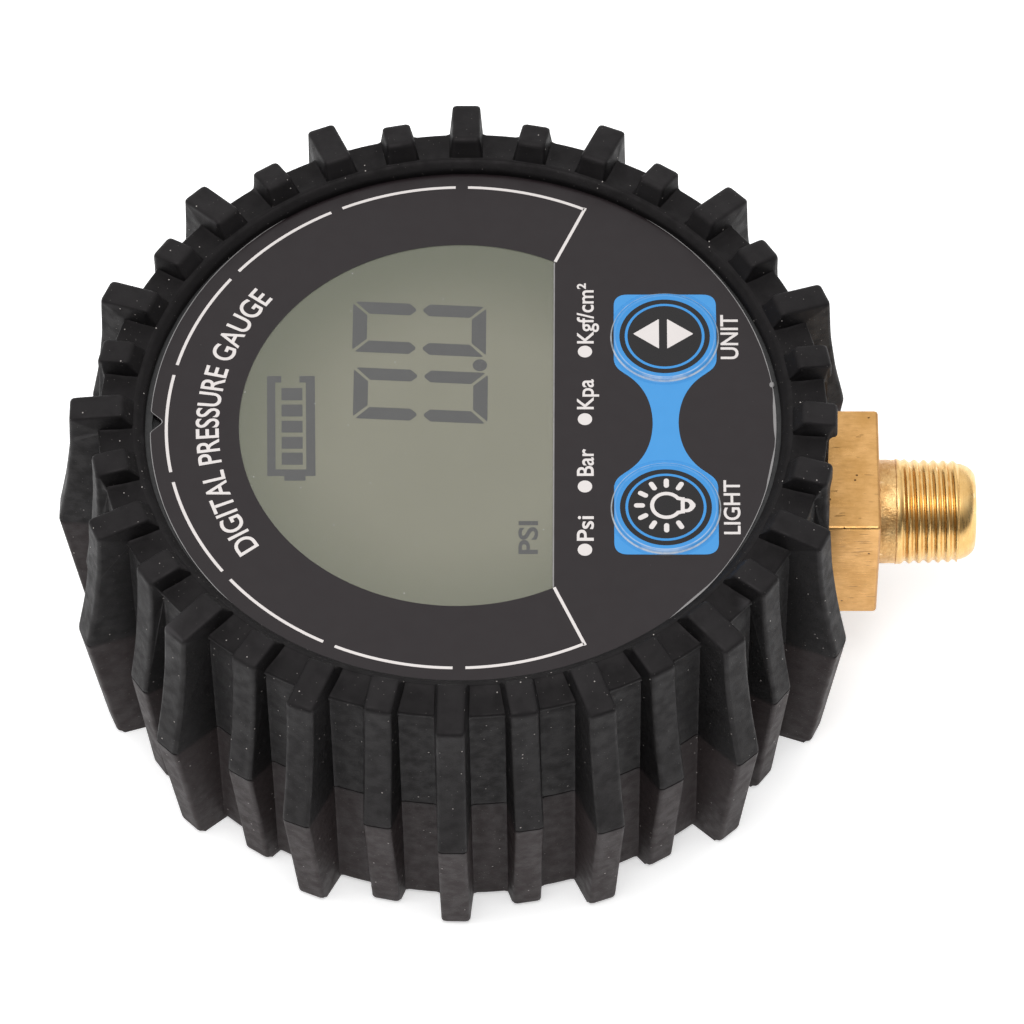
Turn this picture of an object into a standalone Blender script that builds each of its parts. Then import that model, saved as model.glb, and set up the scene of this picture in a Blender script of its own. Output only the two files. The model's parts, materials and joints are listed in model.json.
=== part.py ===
"""Digital tire pressure gauge in a rubber tread boot, modelled as its separate pieces.

The gauge lies on its back: the back cover and the boot's rear rim are on z = 0, the dial faces
+Z, the threaded fitting points along +X, and the origin is the case's axis in the rear plane.
Lengths are in millimetres throughout, and MM turns them into metres as each mesh is made.
"""

import math

import bmesh
import bpy
from mathutils import Matrix, Vector

MM = 0.001

# Case and its levels above the rear plane
CASE_RADIUS = 31.6
CASE_INNER_RADIUS = 30.0
DIAL_TOP = 32.0
OVERLAY_THICKNESS = 0.5
OVERLAY_RADIUS = 29.6
FACE_TOP = 31.2
FACE_UNDERSIDE = 29.4
RIM_TOP = 31.9
RIM_INNER_RADIUS = 29.9
SPLIT_LEVEL = 16.7
SPLIT_GAP = 0.3
FLOOR_TOP = 1.8
FLOOR_RADIUS = 28.6
CLEARANCE = 0.3

# Dial print, which sits a little off the case's axis, and the display window in it
DIAL_OFFSET_X = -0.4
WINDOW_RADIUS = 21.75
WINDOW_FLAT_X = 9.75

# Rubber boot
LUG_COUNT = 32
LUG_TOP_HALF_WIDTH = 1.3
LUG_ROOT_HALF_WIDTH = 1.47
BOOT_STRETCH = 0.0134
BOOT_INNER_RADIUS = 31.9
BOOT_LIP = ((29.9, 32.2), (29.9, 32.6), (30.4, 33.1), (31.0, 33.25))
BOOT_INSIDE = ((28.9, 0.0), (28.9, 1.2), (BOOT_INNER_RADIUS, 1.2), (BOOT_INNER_RADIUS, 32.2))
VALLEY_OUTSIDE = ((32.2, 33.0), (33.9, 32.9), (34.35, 32.5), (34.4, 17.0), (34.3, 0.8), (33.6, 0.0))
SMALL_LUG_OUTSIDE = ((32.2, 35.0), (34.9, 34.6), (35.2, 34.2), (36.6, 17.0), (35.3, 0.6), (34.7, 0.0))
LARGE_LUG_OUTSIDE = ((32.2, 35.0), (36.9, 34.4), (37.2, 34.0), (39.1, 17.0), (37.0, 0.6), (36.4, 0.0))
LARGE_LUG_GROWTH = (0.0, 0.5, 0.5, 0.85, 0.5, 0.5)
SMALL_LUG_GROWTH = (0.0, 0.8, 0.8, 1.3, 0.5, 0.5)
LUG_GROWTH_DIRECTION = 280
LUG_SHIFT = 2.1
LUG_SHIFT_DIRECTION = 318
BOOT_WINDOW_HALF_WIDTH = 7.4
BOOT_WINDOW_HALF_HEIGHT = 7.75
LUG_RELIEF_HALF_WIDTH = 9.0
LUG_RELIEF_HALF_HEIGHT = 8.6
LUG_RELIEF_START_X = 34.7

# Brass fitting, turned about its own axis at the level where the case splits
FITTING_LEVEL = SPLIT_LEVEL
SHANK_INNER_X = 25.7
SHANK_RADIUS = 5.3
BLOCK_START_X = 32.0
BLOCK_END_X = 40.16
BLOCK_HALF_WIDTH = 7.0
BLOCK_HALF_HEIGHT = 7.35
NECK_RADIUS = 5.1
THREAD_START_X = 42.2
THREAD_PITCH = 0.941
THREAD_TURNS = 7
THREAD_START_RADIUS = 5.15
THREAD_TAPER = 1 / 32
THREAD_DEPTH = 0.5
TIP_X = 49.95
TIP_RADIUS = 3.6
BORE_RADIUS = 1.9
SENSOR_POCKET_RADIUS = 4.0
SENSOR_POCKET_END_X = 30.0

# Buttons
BUTTON_PLACES = {"unit": (19.42, 9.85), "light": (19.42, -10.25)}
BUTTON_HOLE_RADIUS = 5.6
BUTTON_DOME_RADIUS = 5.3
BUTTON_DOME_RISE = 0.3
DOME_SHOULDER = 0.2
KEY_RADIUS = 5.2
KEY_BOTTOM = 29.8

# Circuit board, display and the screws that hold them
BOARD_RADIUS = 29.2
BOARD_FLAT_X = 25.4
BOARD_BOTTOM = 22.6
BOARD_TOP = 24.2
DISPLAY_LEFT = -21.9
DISPLAY_RIGHT = 10.6
DISPLAY_HALF = 21.9
DISPLAY_CORNER_DISTANCE = 22.4
DISPLAY_BOTTOM = 27.5
DISPLAY_TOP = 29.1
VIEWING_STEP_RADIUS = 21.5
VIEWING_STEP_FLAT_X = 9.5
VIEWING_STEP_TOP = 31.35
BACKLIGHT_HALF_LENGTH = 19.0
BACKLIGHT_NARROW_HALF_LENGTH = 10.0
BACKLIGHT_NARROW_END_X = -12.0
BACKLIGHT_RIGHT = 8.6
BACKLIGHT_BOTTOM = 25.0
BACKLIGHT_TOP = 27.2
ZEBRA_STRIP_Y = 20.5
LED_PLACES_Y = (6.0, -6.0)
CASE_SCREW_PLACES = ((-19.2, 17.2), (-19.2, -17.2), (17.6, 18.6), (17.6, -18.6))
BOARD_SCREW_PLACES = ((1.0, 26.1), (1.0, -26.1), (14.3, 0.0))
BOSS_RADIUS = 2.0
SCREW_SHOULDER = 10.0

# Two AAA cells side by side along Y, and the door under them
CELL_RADIUS = 5.25
CELL_LENGTH = 44.5
CELL_LEVEL = 7.9
CELL_PLACES_X = (-10.3, 0.3)
CONTACT_Y = 24.3
DOOR_CENTRE_X = -5.0
DOOR_HALF_WIDTH = 9.9
DOOR_HALF_LENGTH = 22.6
DOOR_THICKNESS = 1.5
DOOR_TAB_END = 27.2
DOOR_TAB_HALF_WIDTH = 3.0
DOOR_SCREW_Y = 24.9

ROUND_STEPS = 48
SMALL_STEPS = 12


def clear_scene():
    """Removes whatever the start-up scene holds."""
    for obj in list(bpy.data.objects):
        bpy.data.objects.remove(obj)


def make_material(name, colour, roughness, metallic=0.0, alpha=1.0):
    """A plain shader with the piece's colour and finish."""
    material = bpy.data.materials.new(name)
    material.use_nodes = True
    shader = material.node_tree.nodes["Principled BSDF"]
    shader.inputs["Base Color"].default_value = (*colour, 1.0)
    shader.inputs["Roughness"].default_value = roughness
    shader.inputs["Metallic"].default_value = metallic
    shader.inputs["Alpha"].default_value = alpha
    return material


def make_object(name, bm, material, place=(0.0, 0.0, 0.0), turn=None):
    """Turns a bmesh in millimetres into an object in metres, with outward faces."""
    bmesh.ops.recalc_face_normals(bm, faces=bm.faces)
    bmesh.ops.scale(bm, vec=(MM, MM, MM), verts=bm.verts)
    mesh = bpy.data.meshes.new(name)
    bm.to_mesh(mesh)
    bm.free()
    mesh.shade_smooth()
    mesh.set_sharp_from_angle(angle=math.radians(30))
    obj = bpy.data.objects.new(name, mesh)
    bpy.context.scene.collection.objects.link(obj)
    if material:
        mesh.materials.append(material)
    obj.location = [value * MM for value in place]
    if turn:
        obj.rotation_euler = turn
    return obj


def turned(profile, steps=ROUND_STEPS):
    """A closed (radius, height) outline turned about Z. A radius of 0 is a point on the axis."""
    bm = bmesh.new()
    rings = []
    for radius, height in profile:
        if radius == 0:
            rings.append([bm.verts.new((0, 0, height))] * steps)
            continue
        angles = [2 * math.pi * step / steps for step in range(steps)]
        rings.append([bm.verts.new((radius * math.cos(a), radius * math.sin(a), height)) for a in angles])
    for low, high in zip(rings, rings[1:] + rings[:1]):
        for step in range(steps):
            after = (step + 1) % steps
            corners = dict.fromkeys((low[step], low[after], high[after], high[step]))
            if len(corners) > 2:
                bm.faces.new(corners)
    return bm


def prism(outline, bottom, top):
    """An outline of (x, y) corners raised from bottom to top."""
    bm = bmesh.new()
    base = bm.faces.new([bm.verts.new((x, y, bottom)) for x, y in outline])
    raised = bmesh.ops.extrude_face_region(bm, geom=[base])["geom"]
    raised_verts = [item for item in raised if isinstance(item, bmesh.types.BMVert)]
    bmesh.ops.translate(bm, vec=(0, 0, top - bottom), verts=raised_verts)
    return bm


def block(low, high):
    """A rectangular block between two corners."""
    bm = bmesh.new()
    bmesh.ops.create_cube(bm, size=1.0)
    size = [b - a for a, b in zip(low, high)]
    middle = [(a + b) / 2 for a, b in zip(low, high)]
    bmesh.ops.scale(bm, vec=size, verts=bm.verts)
    bmesh.ops.translate(bm, vec=middle, verts=bm.verts)
    return bm


def rod(radius, bottom, top, steps=SMALL_STEPS):
    """A plain round rod along Z."""
    return turned([(0, bottom), (radius, bottom), (radius, top), (0, top)], steps)


def combine(target, tool, operation):
    """Cuts the tool from the target or joins it on, and hides the tool."""
    modifier = target.modifiers.new(tool.name, "BOOLEAN")
    modifier.operation = operation
    modifier.object = tool
    modifier.solver = "EXACT"
    tool.hide_render = True
    tool.display_type = "WIRE"


def cut(target, name, bm, place=(0.0, 0.0, 0.0), turn=None):
    """Cuts a shape from the target."""
    combine(target, make_object(name, bm, None, place, turn), "DIFFERENCE")


def join(target, name, bm, place=(0.0, 0.0, 0.0), turn=None):
    """Joins a shape onto the target."""
    combine(target, make_object(name, bm, None, place, turn), "UNION")


def arc(radius, start, end, steps, centre=(0.0, 0.0)):
    """Points on an arc, angles in degrees."""
    angles = [math.radians(start + (end - start) * step / steps) for step in range(steps + 1)]
    return [(centre[0] + radius * math.cos(a), centre[1] + radius * math.sin(a)) for a in angles]


def flat_sided_disc(radius, flat_x, steps=48):
    """A disc's outline cut straight at x = flat_x on its +X side."""
    start = math.degrees(math.acos(flat_x / radius))
    return arc(radius, start, 360 - start, steps)


ALONG_X = (0.0, math.radians(90), 0.0)
ALONG_Y = (math.radians(-90), 0.0, 0.0)

RUBBER = ((0.022, 0.022, 0.023), 0.75)
CASE_PLASTIC = ((0.03, 0.03, 0.032), 0.5)
STEEL = ((0.62, 0.62, 0.63), 0.35, 1.0)
BRASS = ((0.80, 0.58, 0.26), 0.3, 1.0)


# Rubber boot

def boot_column(bm, outside, angle, offset):
    """One upright slice of the boot: its lip, its outer side and its inside, as a closed loop.

    Points of the outer side keep the same sideways offset from the lug's middle plane, which
    makes the lugs parallel-sided. The outer side and the lip are stretched along X, where the
    fitting's block holds the rubber out of round."""
    points = [(r, z, True) for r, z in BOOT_LIP + outside] + [(r, z, False) for r, z in BOOT_INSIDE]
    column = []
    for radius, height, stretched in points:
        along = math.sqrt(radius ** 2 - offset ** 2)
        x = along * math.cos(angle) - offset * math.sin(angle)
        y = along * math.sin(angle) + offset * math.cos(angle)
        if stretched:
            x *= 1 + BOOT_STRETCH
            y *= 1 - BOOT_STRETCH
        column.append(bm.verts.new((x, y, height)))
    return column


def nearness(degrees, direction, sharpness):
    """1 in the given direction round the boot and 0 opposite it; a sharper fall for a higher power."""
    return ((1 + math.cos(math.radians(degrees - direction))) / 2) ** sharpness


def grown_lug(outside, growth, degrees):
    """A lug's outer side, swollen outwards on the side of the boot that the hand squeezes."""
    share = nearness(degrees, LUG_GROWTH_DIRECTION, 2)
    return tuple((r + extra * share, z) for (r, z), extra in zip(outside, growth))


def make_rubber_boot():
    """The lugs are evenly spaced in the mould, then creep round the case towards the fitting."""
    bm = bmesh.new()
    columns = []
    for index in range(LUG_COUNT):
        degrees = 360 * index / LUG_COUNT
        angle = math.radians(degrees - LUG_SHIFT * nearness(degrees, LUG_SHIFT_DIRECTION, 3))
        if index % 2 == 0 and index != 0:
            lug = grown_lug(LARGE_LUG_OUTSIDE, LARGE_LUG_GROWTH, degrees)
        else:
            lug = grown_lug(SMALL_LUG_OUTSIDE, SMALL_LUG_GROWTH, degrees)
        columns.append(boot_column(bm, VALLEY_OUTSIDE, angle, -LUG_ROOT_HALF_WIDTH))
        columns.append(boot_column(bm, lug, angle, -LUG_TOP_HALF_WIDTH))
        columns.append(boot_column(bm, lug, angle, LUG_TOP_HALF_WIDTH))
        columns.append(boot_column(bm, VALLEY_OUTSIDE, angle, LUG_ROOT_HALF_WIDTH))
    for left, right in zip(columns, columns[1:] + columns[:1]):
        for row in range(len(left)):
            after = (row + 1) % len(left)
            bm.faces.new((left[row], left[after], right[after], right[row]))
    boot = make_object("rubber_boot", bm, make_material("rubber", *RUBBER))
    low = (25, -BOOT_WINDOW_HALF_WIDTH, FITTING_LEVEL - BOOT_WINDOW_HALF_HEIGHT)
    high = (45, BOOT_WINDOW_HALF_WIDTH, FITTING_LEVEL + BOOT_WINDOW_HALF_HEIGHT)
    cut(boot, "boot_window_cutter", block(low, high))
    low = (LUG_RELIEF_START_X, -LUG_RELIEF_HALF_WIDTH, FITTING_LEVEL - LUG_RELIEF_HALF_HEIGHT)
    high = (45, LUG_RELIEF_HALF_WIDTH, FITTING_LEVEL + LUG_RELIEF_HALF_HEIGHT)
    cut(boot, "lug_relief_cutter", block(low, high))


# Case shells

def make_front_case():
    """Front shell: dial plate with the display and button openings, wall, and screw bosses."""
    bottom = SPLIT_LEVEL + SPLIT_GAP / 2
    profile = [
        (0, FACE_UNDERSIDE), (CASE_INNER_RADIUS, FACE_UNDERSIDE), (CASE_INNER_RADIUS, bottom),
        (CASE_RADIUS, bottom), (CASE_RADIUS, RIM_TOP), (RIM_INNER_RADIUS, RIM_TOP),
        (RIM_INNER_RADIUS, FACE_TOP), (0, FACE_TOP),
    ]
    case = make_object("front_case", turned(profile), make_material("front_case", *CASE_PLASTIC))
    overlap = 0.5
    board_boss = BOARD_TOP + CLEARANCE
    for number, (x, y) in enumerate(CASE_SCREW_PLACES, 1):
        join(case, f"case_boss_{number}", rod(BOSS_RADIUS, bottom, FACE_UNDERSIDE + overlap), (x, y, 0))
    for number, (x, y) in enumerate(BOARD_SCREW_PLACES, 1):
        boss = rod(BOSS_RADIUS, board_boss, FACE_UNDERSIDE + overlap)
        join(case, f"board_boss_{number}", boss, (x, y, 0))
    for number, (x, y) in enumerate(CASE_SCREW_PLACES, 1):
        cut(case, f"case_boss_hole_{number}", rod(1.0, bottom - 1, 24.0), (x, y, 0))
    for number, (x, y) in enumerate(BOARD_SCREW_PLACES, 1):
        cut(case, f"board_boss_hole_{number}", rod(1.1, board_boss - 1, 28.0), (x, y, 0))
    window = prism(flat_sided_disc(WINDOW_RADIUS, WINDOW_FLAT_X), FACE_UNDERSIDE - 1, FACE_TOP + 1)
    cut(case, "display_window_cutter", window, (DIAL_OFFSET_X, 0, 0))
    for name, (x, y) in BUTTON_PLACES.items():
        hole = rod(BUTTON_HOLE_RADIUS, FACE_UNDERSIDE - 0.2, FACE_TOP + 1, 32)
        cut(case, f"{name}_hole_cutter", hole, (x, y, 0))
    cut_fitting_hole(case, "front_fitting_hole_cutter")


def make_back_case():
    """Rear shell: floor, wall, screw columns and the battery opening."""
    top = SPLIT_LEVEL - SPLIT_GAP / 2
    step_radius = 27.6
    step_top = 3.3
    profile = [
        (0, 0), (FLOOR_RADIUS, 0), (FLOOR_RADIUS, 1.5), (CASE_RADIUS, 1.5), (CASE_RADIUS, top),
        (CASE_INNER_RADIUS, top), (CASE_INNER_RADIUS, step_top), (step_radius, step_top),
        (step_radius, FLOOR_TOP), (0, FLOOR_TOP),
    ]
    case = make_object("back_case", turned(profile), make_material("back_case", *CASE_PLASTIC))
    for number, (x, y) in enumerate(CASE_SCREW_PLACES, 1):
        join(case, f"column_{number}", rod(2.6, 1.0, top), (x, y, 0))
        cut(case, f"column_bore_{number}", rod(1.9, -1, SCREW_SHOULDER), (x, y, 0))
        cut(case, f"column_hole_{number}", rod(1.1, -1, top + 1), (x, y, 0))
    join(case, "door_boss", rod(2.2, 1.0, 5.2), (DOOR_CENTRE_X, DOOR_SCREW_Y, 0))
    cut(case, "door_boss_hole", rod(0.9, -1, 4.6), (DOOR_CENTRE_X, DOOR_SCREW_Y, 0))
    half_width = DOOR_HALF_WIDTH + CLEARANCE
    half_length = DOOR_HALF_LENGTH + CLEARANCE
    opening = block((-half_width, -half_length, -1), (half_width, half_length, 6))
    cut(case, "battery_opening_cutter", opening, (DOOR_CENTRE_X, 0, 0))
    tab_half = DOOR_TAB_HALF_WIDTH + CLEARANCE
    tab_recess = block((-tab_half, half_length - 1, -1), (tab_half, DOOR_TAB_END + CLEARANCE, 1.2))
    cut(case, "door_tab_recess_cutter", tab_recess, (DOOR_CENTRE_X, 0, 0))
    cut_fitting_hole(case, "back_fitting_hole_cutter")


def cut_fitting_hole(case, name):
    """Each shell carries half of the round hole that the fitting's shank passes through."""
    hole = rod(SHANK_RADIUS + CLEARANCE, CASE_INNER_RADIUS - 3, CASE_RADIUS + 2, 24)
    cut(case, name, hole, (0, 0, FITTING_LEVEL), ALONG_X)


def make_case_screws():
    material = make_material("screw_steel", *STEEL)
    shaft_top = 23.0
    head_bottom = SCREW_SHOULDER - CLEARANCE - 1.4
    profile = [
        (0, head_bottom + 0.7), (0.8, head_bottom + 0.7), (0.8, head_bottom), (1.7, head_bottom),
        (1.7, head_bottom + 1.4), (0.7, head_bottom + 1.4), (0.7, shaft_top), (0, shaft_top),
    ]
    for number, (x, y) in enumerate(CASE_SCREW_PLACES, 1):
        make_object(f"case_screw_{number}", turned(profile, 12), material, (x, y, 0))


# Dial overlay and buttons

def make_face_overlay():
    """Printed film on the dial plate, with the positioning notch in its left edge."""
    bottom = DIAL_TOP - OVERLAY_THICKNESS
    notch_half_angle = 2.3
    outline = arc(OVERLAY_RADIUS, -180 + notch_half_angle, 180 - notch_half_angle, 48)
    outline.append((-OVERLAY_RADIUS + 1.05, 0.0))
    colour = (0.045, 0.043, 0.045)
    overlay = make_object(
        "face_overlay", prism(outline, bottom, DIAL_TOP), make_material("face_overlay", colour, 0.4)
    )
    for name, (x, y) in BUTTON_PLACES.items():
        hole = rod(BUTTON_HOLE_RADIUS, bottom - 1, DIAL_TOP + 1, 32)
        cut(overlay, f"{name}_overlay_hole_cutter", hole, (x, y, 0))


def make_button(name):
    """A clear embossed dome, the key under it and the switch's stem, which travel together."""
    x, y = BUTTON_PLACES[name]
    centre = bpy.data.objects.new(f"{name}_button_axis", None)
    centre.location = (x * MM, y * MM, DIAL_TOP * MM)
    bpy.context.scene.collection.objects.link(centre)
    clear_blue = make_material(f"{name}_button", (0.08, 0.28, 0.62), 0.15, 0.0, 0.6)
    black = make_material(f"{name}_key", (0.02, 0.02, 0.02), 0.4)
    white = make_material(f"{name}_stem", (0.75, 0.75, 0.72), 0.5)
    underside = FACE_TOP + 0.15 - DIAL_TOP
    dome = [
        (0, underside), (BUTTON_DOME_RADIUS, underside), (BUTTON_DOME_RADIUS, 0.0),
        (5.0, DOME_SHOULDER), (4.7, BUTTON_DOME_RISE), (0, BUTTON_DOME_RISE),
    ]
    key_top = FACE_TOP - 0.15 - DIAL_TOP
    key_low = KEY_BOTTOM - DIAL_TOP
    key_foot = 28.6 - DIAL_TOP
    key = [
        (0, key_foot), (2.0, key_foot), (2.0, key_low), (KEY_RADIUS, key_low),
        (KEY_RADIUS, key_top), (0, key_top),
    ]
    stem_low = 26.6 - DIAL_TOP
    stem_high = 28.3 - DIAL_TOP
    pieces = [
        make_object(f"{name}_button", turned(dome, 28), clear_blue),
        make_object(f"{name}_key", turned(key, 20), black),
        make_object(f"{name}_switch_stem", rod(1.7, stem_low, stem_high), white),
    ]
    for piece in pieces:
        piece.parent = centre


def make_switch_body(name, material):
    """Square tactile switch on the board, with the well that its stem moves in."""
    x, y = BUTTON_PLACES[name]
    bottom = BOARD_TOP + CLEARANCE
    body = make_object(
        f"{name}_switch_body", block((-3, -3, bottom), (3, 3, 27.6)), material, (x, y, 0)
    )
    cut(body, f"{name}_switch_well_cutter", rod(2.0, 25.4, 29), (x, y, 0))


# Display and circuit board

def display_outline(margin):
    """The display glass with its two left corners cut off, grown by a margin."""
    left = DISPLAY_LEFT - margin
    right = DISPLAY_RIGHT + margin
    half = DISPLAY_HALF + margin
    corner_sum = (DISPLAY_CORNER_DISTANCE + margin) * math.sqrt(2)
    return [
        (right, -half), (right, half), (half - corner_sum, half),
        (left, corner_sum + left), (left, -corner_sum - left), (half - corner_sum, -half),
    ]


def make_display():
    """Display glass with its raised viewing step, and the frame, light guide and strips round it."""
    glass = make_material("lcd_panel", (0.36, 0.38, 0.31), 0.2)
    panel = make_object("lcd_panel", prism(display_outline(0), DISPLAY_BOTTOM, DISPLAY_TOP), glass)
    step_outline = flat_sided_disc(VIEWING_STEP_RADIUS, VIEWING_STEP_FLAT_X)
    step = prism(step_outline, DISPLAY_TOP - 0.5, VIEWING_STEP_TOP)
    join(panel, "lcd_viewing_step", step, (DIAL_OFFSET_X, 0, 0))
    frame_plastic = make_material("lcd_frame", (0.75, 0.75, 0.72), 0.5)
    frame_bottom = BOARD_TOP + CLEARANCE
    frame = make_object("lcd_frame", prism(display_outline(1.0), frame_bottom, DISPLAY_TOP), frame_plastic)
    cut(frame, "lcd_frame_cutter", prism(display_outline(CLEARANCE), 20, 32))
    acrylic = make_material("backlight_panel", (0.85, 0.87, 0.85), 0.25)
    narrow_low = (DISPLAY_LEFT + 1.3, -BACKLIGHT_NARROW_HALF_LENGTH, BACKLIGHT_BOTTOM)
    narrow_high = (BACKLIGHT_RIGHT, BACKLIGHT_NARROW_HALF_LENGTH, BACKLIGHT_TOP)
    light_guide = make_object("backlight_panel", block(narrow_low, narrow_high), acrylic)
    wide_low = (BACKLIGHT_NARROW_END_X, -BACKLIGHT_HALF_LENGTH, BACKLIGHT_BOTTOM)
    wide_high = (BACKLIGHT_RIGHT, BACKLIGHT_HALF_LENGTH, BACKLIGHT_TOP)
    join(light_guide, "light_guide_middle", block(wide_low, wide_high))
    strip_rubber = make_material("zebra_strip", (0.6, 0.35, 0.4), 0.6)
    for number, side in enumerate((1, -1), 1):
        strip = block((-8.0, -0.9, BOARD_TOP + CLEARANCE), (9.0, 0.9, DISPLAY_BOTTOM - CLEARANCE))
        make_object(f"zebra_strip_{number}", strip, strip_rubber, (0, side * ZEBRA_STRIP_Y, 0))
    led_white = make_material("backlight_led", (0.9, 0.88, 0.7), 0.3)
    for number, y in enumerate(LED_PLACES_Y, 1):
        led = block((8.9, -1.5, BOARD_TOP + CLEARANCE), (10.3, 1.5, 27.0))
        make_object(f"backlight_led_{number}", led, led_white, (0, y, 0))


def make_circuit_board():
    green = make_material("circuit_board", (0.03, 0.17, 0.08), 0.45)
    board = make_object(
        "main_pcb", prism(flat_sided_disc(BOARD_RADIUS, BOARD_FLAT_X), BOARD_BOTTOM, BOARD_TOP), green
    )
    for number, (x, y) in enumerate(CASE_SCREW_PLACES, 1):
        hole = rod(BOSS_RADIUS + CLEARANCE, BOARD_BOTTOM - 1, BOARD_TOP + 1)
        cut(board, f"board_boss_clearance_{number}", hole, (x, y, 0))
    for number, (x, y) in enumerate(BOARD_SCREW_PLACES, 1):
        cut(board, f"board_hole_{number}", rod(1.2, BOARD_BOTTOM - 1, BOARD_TOP + 1), (x, y, 0))
    black = make_material("controller_chip", (0.02, 0.02, 0.02), 0.4)
    chip = block((-12, 8, 21.2), (-4, 16, BOARD_BOTTOM - CLEARANCE))
    make_object("controller_chip", chip, black)
    switch_black = make_material("switch_body", (0.03, 0.03, 0.03), 0.4)
    for name in BUTTON_PLACES:
        make_switch_body(name, switch_black)


def make_board_screws():
    material = make_material("board_screw_steel", *STEEL)
    head_top = BOARD_BOTTOM - CLEARANCE
    profile = [
        (0, head_top - 0.5), (0.8, head_top - 0.5), (0.8, head_top - 1.1), (1.8, head_top - 1.1),
        (1.8, head_top), (0.8, head_top), (0.8, 27.6), (0, 27.6),
    ]
    for number, (x, y) in enumerate(BOARD_SCREW_PLACES, 1):
        make_object(f"pcb_screw_{number}", turned(profile, 12), material, (x, y, 0))


# Brass fitting and pressure sensor

def fitting_profile():
    """Outline of the fitting's neck, tapered thread and tip, as (radius, distance along X)."""
    points = [(BORE_RADIUS, BLOCK_END_X - 1), (NECK_RADIUS, BLOCK_END_X - 1)]
    points += [(NECK_RADIUS, THREAD_START_X - 0.2)]
    for turn in range(THREAD_TURNS):
        root_x = THREAD_START_X + turn * THREAD_PITCH
        crest_radius = THREAD_START_RADIUS - turn * THREAD_PITCH * THREAD_TAPER
        points.append((crest_radius - THREAD_DEPTH, root_x))
        points.append((crest_radius, root_x + THREAD_PITCH * 0.42))
        points.append((crest_radius, root_x + THREAD_PITCH * 0.58))
    last = THREAD_START_X + THREAD_TURNS * THREAD_PITCH
    points += [(4.6, last + 0.15), (TIP_RADIUS, TIP_X), (BORE_RADIUS, TIP_X)]
    return points


def make_brass_fitting():
    shank = [
        (SENSOR_POCKET_RADIUS, SHANK_INNER_X), (SHANK_RADIUS, SHANK_INNER_X),
        (SHANK_RADIUS, BLOCK_START_X + 1), (BORE_RADIUS, BLOCK_START_X + 1),
        (BORE_RADIUS, SENSOR_POCKET_END_X), (SENSOR_POCKET_RADIUS, SENSOR_POCKET_END_X),
    ]
    low = (-BLOCK_HALF_HEIGHT, -BLOCK_HALF_WIDTH, BLOCK_START_X)
    high = (BLOCK_HALF_HEIGHT, BLOCK_HALF_WIDTH, BLOCK_END_X)
    place = (0, 0, FITTING_LEVEL)
    fitting = make_object("brass_fitting", block(low, high), make_material("brass", *BRASS), place, ALONG_X)
    join(fitting, "fitting_shank", turned(shank, 24), place, ALONG_X)
    join(fitting, "fitting_thread", turned(fitting_profile(), 24), place, ALONG_X)
    bore = rod(BORE_RADIUS, BLOCK_START_X - 0.5, BLOCK_END_X + 0.5, 24)
    cut(fitting, "fitting_bore_cutter", bore, place, ALONG_X)


def make_fitting_nut():
    """Hexagonal nut that clamps the fitting's shank behind the case wall."""
    corner_radius = 8.4
    nut = turned([(corner_radius, 26.0), (corner_radius, 28.2), (0, 28.2), (0, 26.0)], 6)
    place = (0, 0, FITTING_LEVEL)
    nut_object = make_object("fitting_nut", nut, make_material("nut_brass", *BRASS), place, ALONG_X)
    cut(nut_object, "fitting_nut_bore_cutter", rod(SHANK_RADIUS + 0.25, 20, 35, 20), place, ALONG_X)


def make_sensor():
    """Pressure sensor in the fitting's pocket, its seal and its ribbon to the board."""
    place = (0, 0, FITTING_LEVEL)
    body = [
        (0, 18.2), (5.2, 18.2), (5.2, SHANK_INNER_X - CLEARANCE), (2.5, SHANK_INNER_X - CLEARANCE),
        (2.5, 29.4), (0.5, 29.4), (0.5, 27.0), (0, 27.0),
    ]
    steel = make_material("sensor_body", *STEEL)
    make_object("sensor_body", turned(body, 20), steel, place, ALONG_X)
    ring_radius = 3.25
    ring_thickness = 0.5
    section = arc(ring_thickness, 0, 360, 6, (ring_radius, 28.0))[:-1]
    black = make_material("sensor_o_ring", (0.02, 0.02, 0.02), 0.6)
    make_object("sensor_o_ring", turned(section, 16), black, place, ALONG_X)
    outline = [(17.3, 14.7), (17.9, 14.7), (17.9, 22.0), (19.5, 22.0), (19.5, 22.3), (17.3, 22.3)]
    amber = make_material("sensor_ribbon", (0.62, 0.33, 0.08), 0.4)
    ribbon = prism([(x, -z) for x, z in outline], -2.5, 2.5)
    make_object("sensor_ribbon", ribbon, amber, (0, 0, 0), ALONG_Y)


# Battery compartment

def make_cells():
    silver = make_material("battery_cell", (0.55, 0.56, 0.58), 0.35, 0.6)
    nub = 0.8
    end = CONTACT_Y - CLEARANCE
    start = end - CELL_LENGTH
    profile = [
        (0, start), (4.9, start), (CELL_RADIUS, start + 0.3), (CELL_RADIUS, end - nub - 0.3),
        (4.9, end - nub), (1.9, end - nub), (1.9, end), (0, end),
    ]
    for number, (x, side) in enumerate(zip(CELL_PLACES_X, (1, -1)), 1):
        turn = (math.radians(-90 * side), 0.0, 0.0)
        make_object(f"battery_{number}", turned(profile, 20), silver, (x, 0, CELL_LEVEL), turn)


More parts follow.
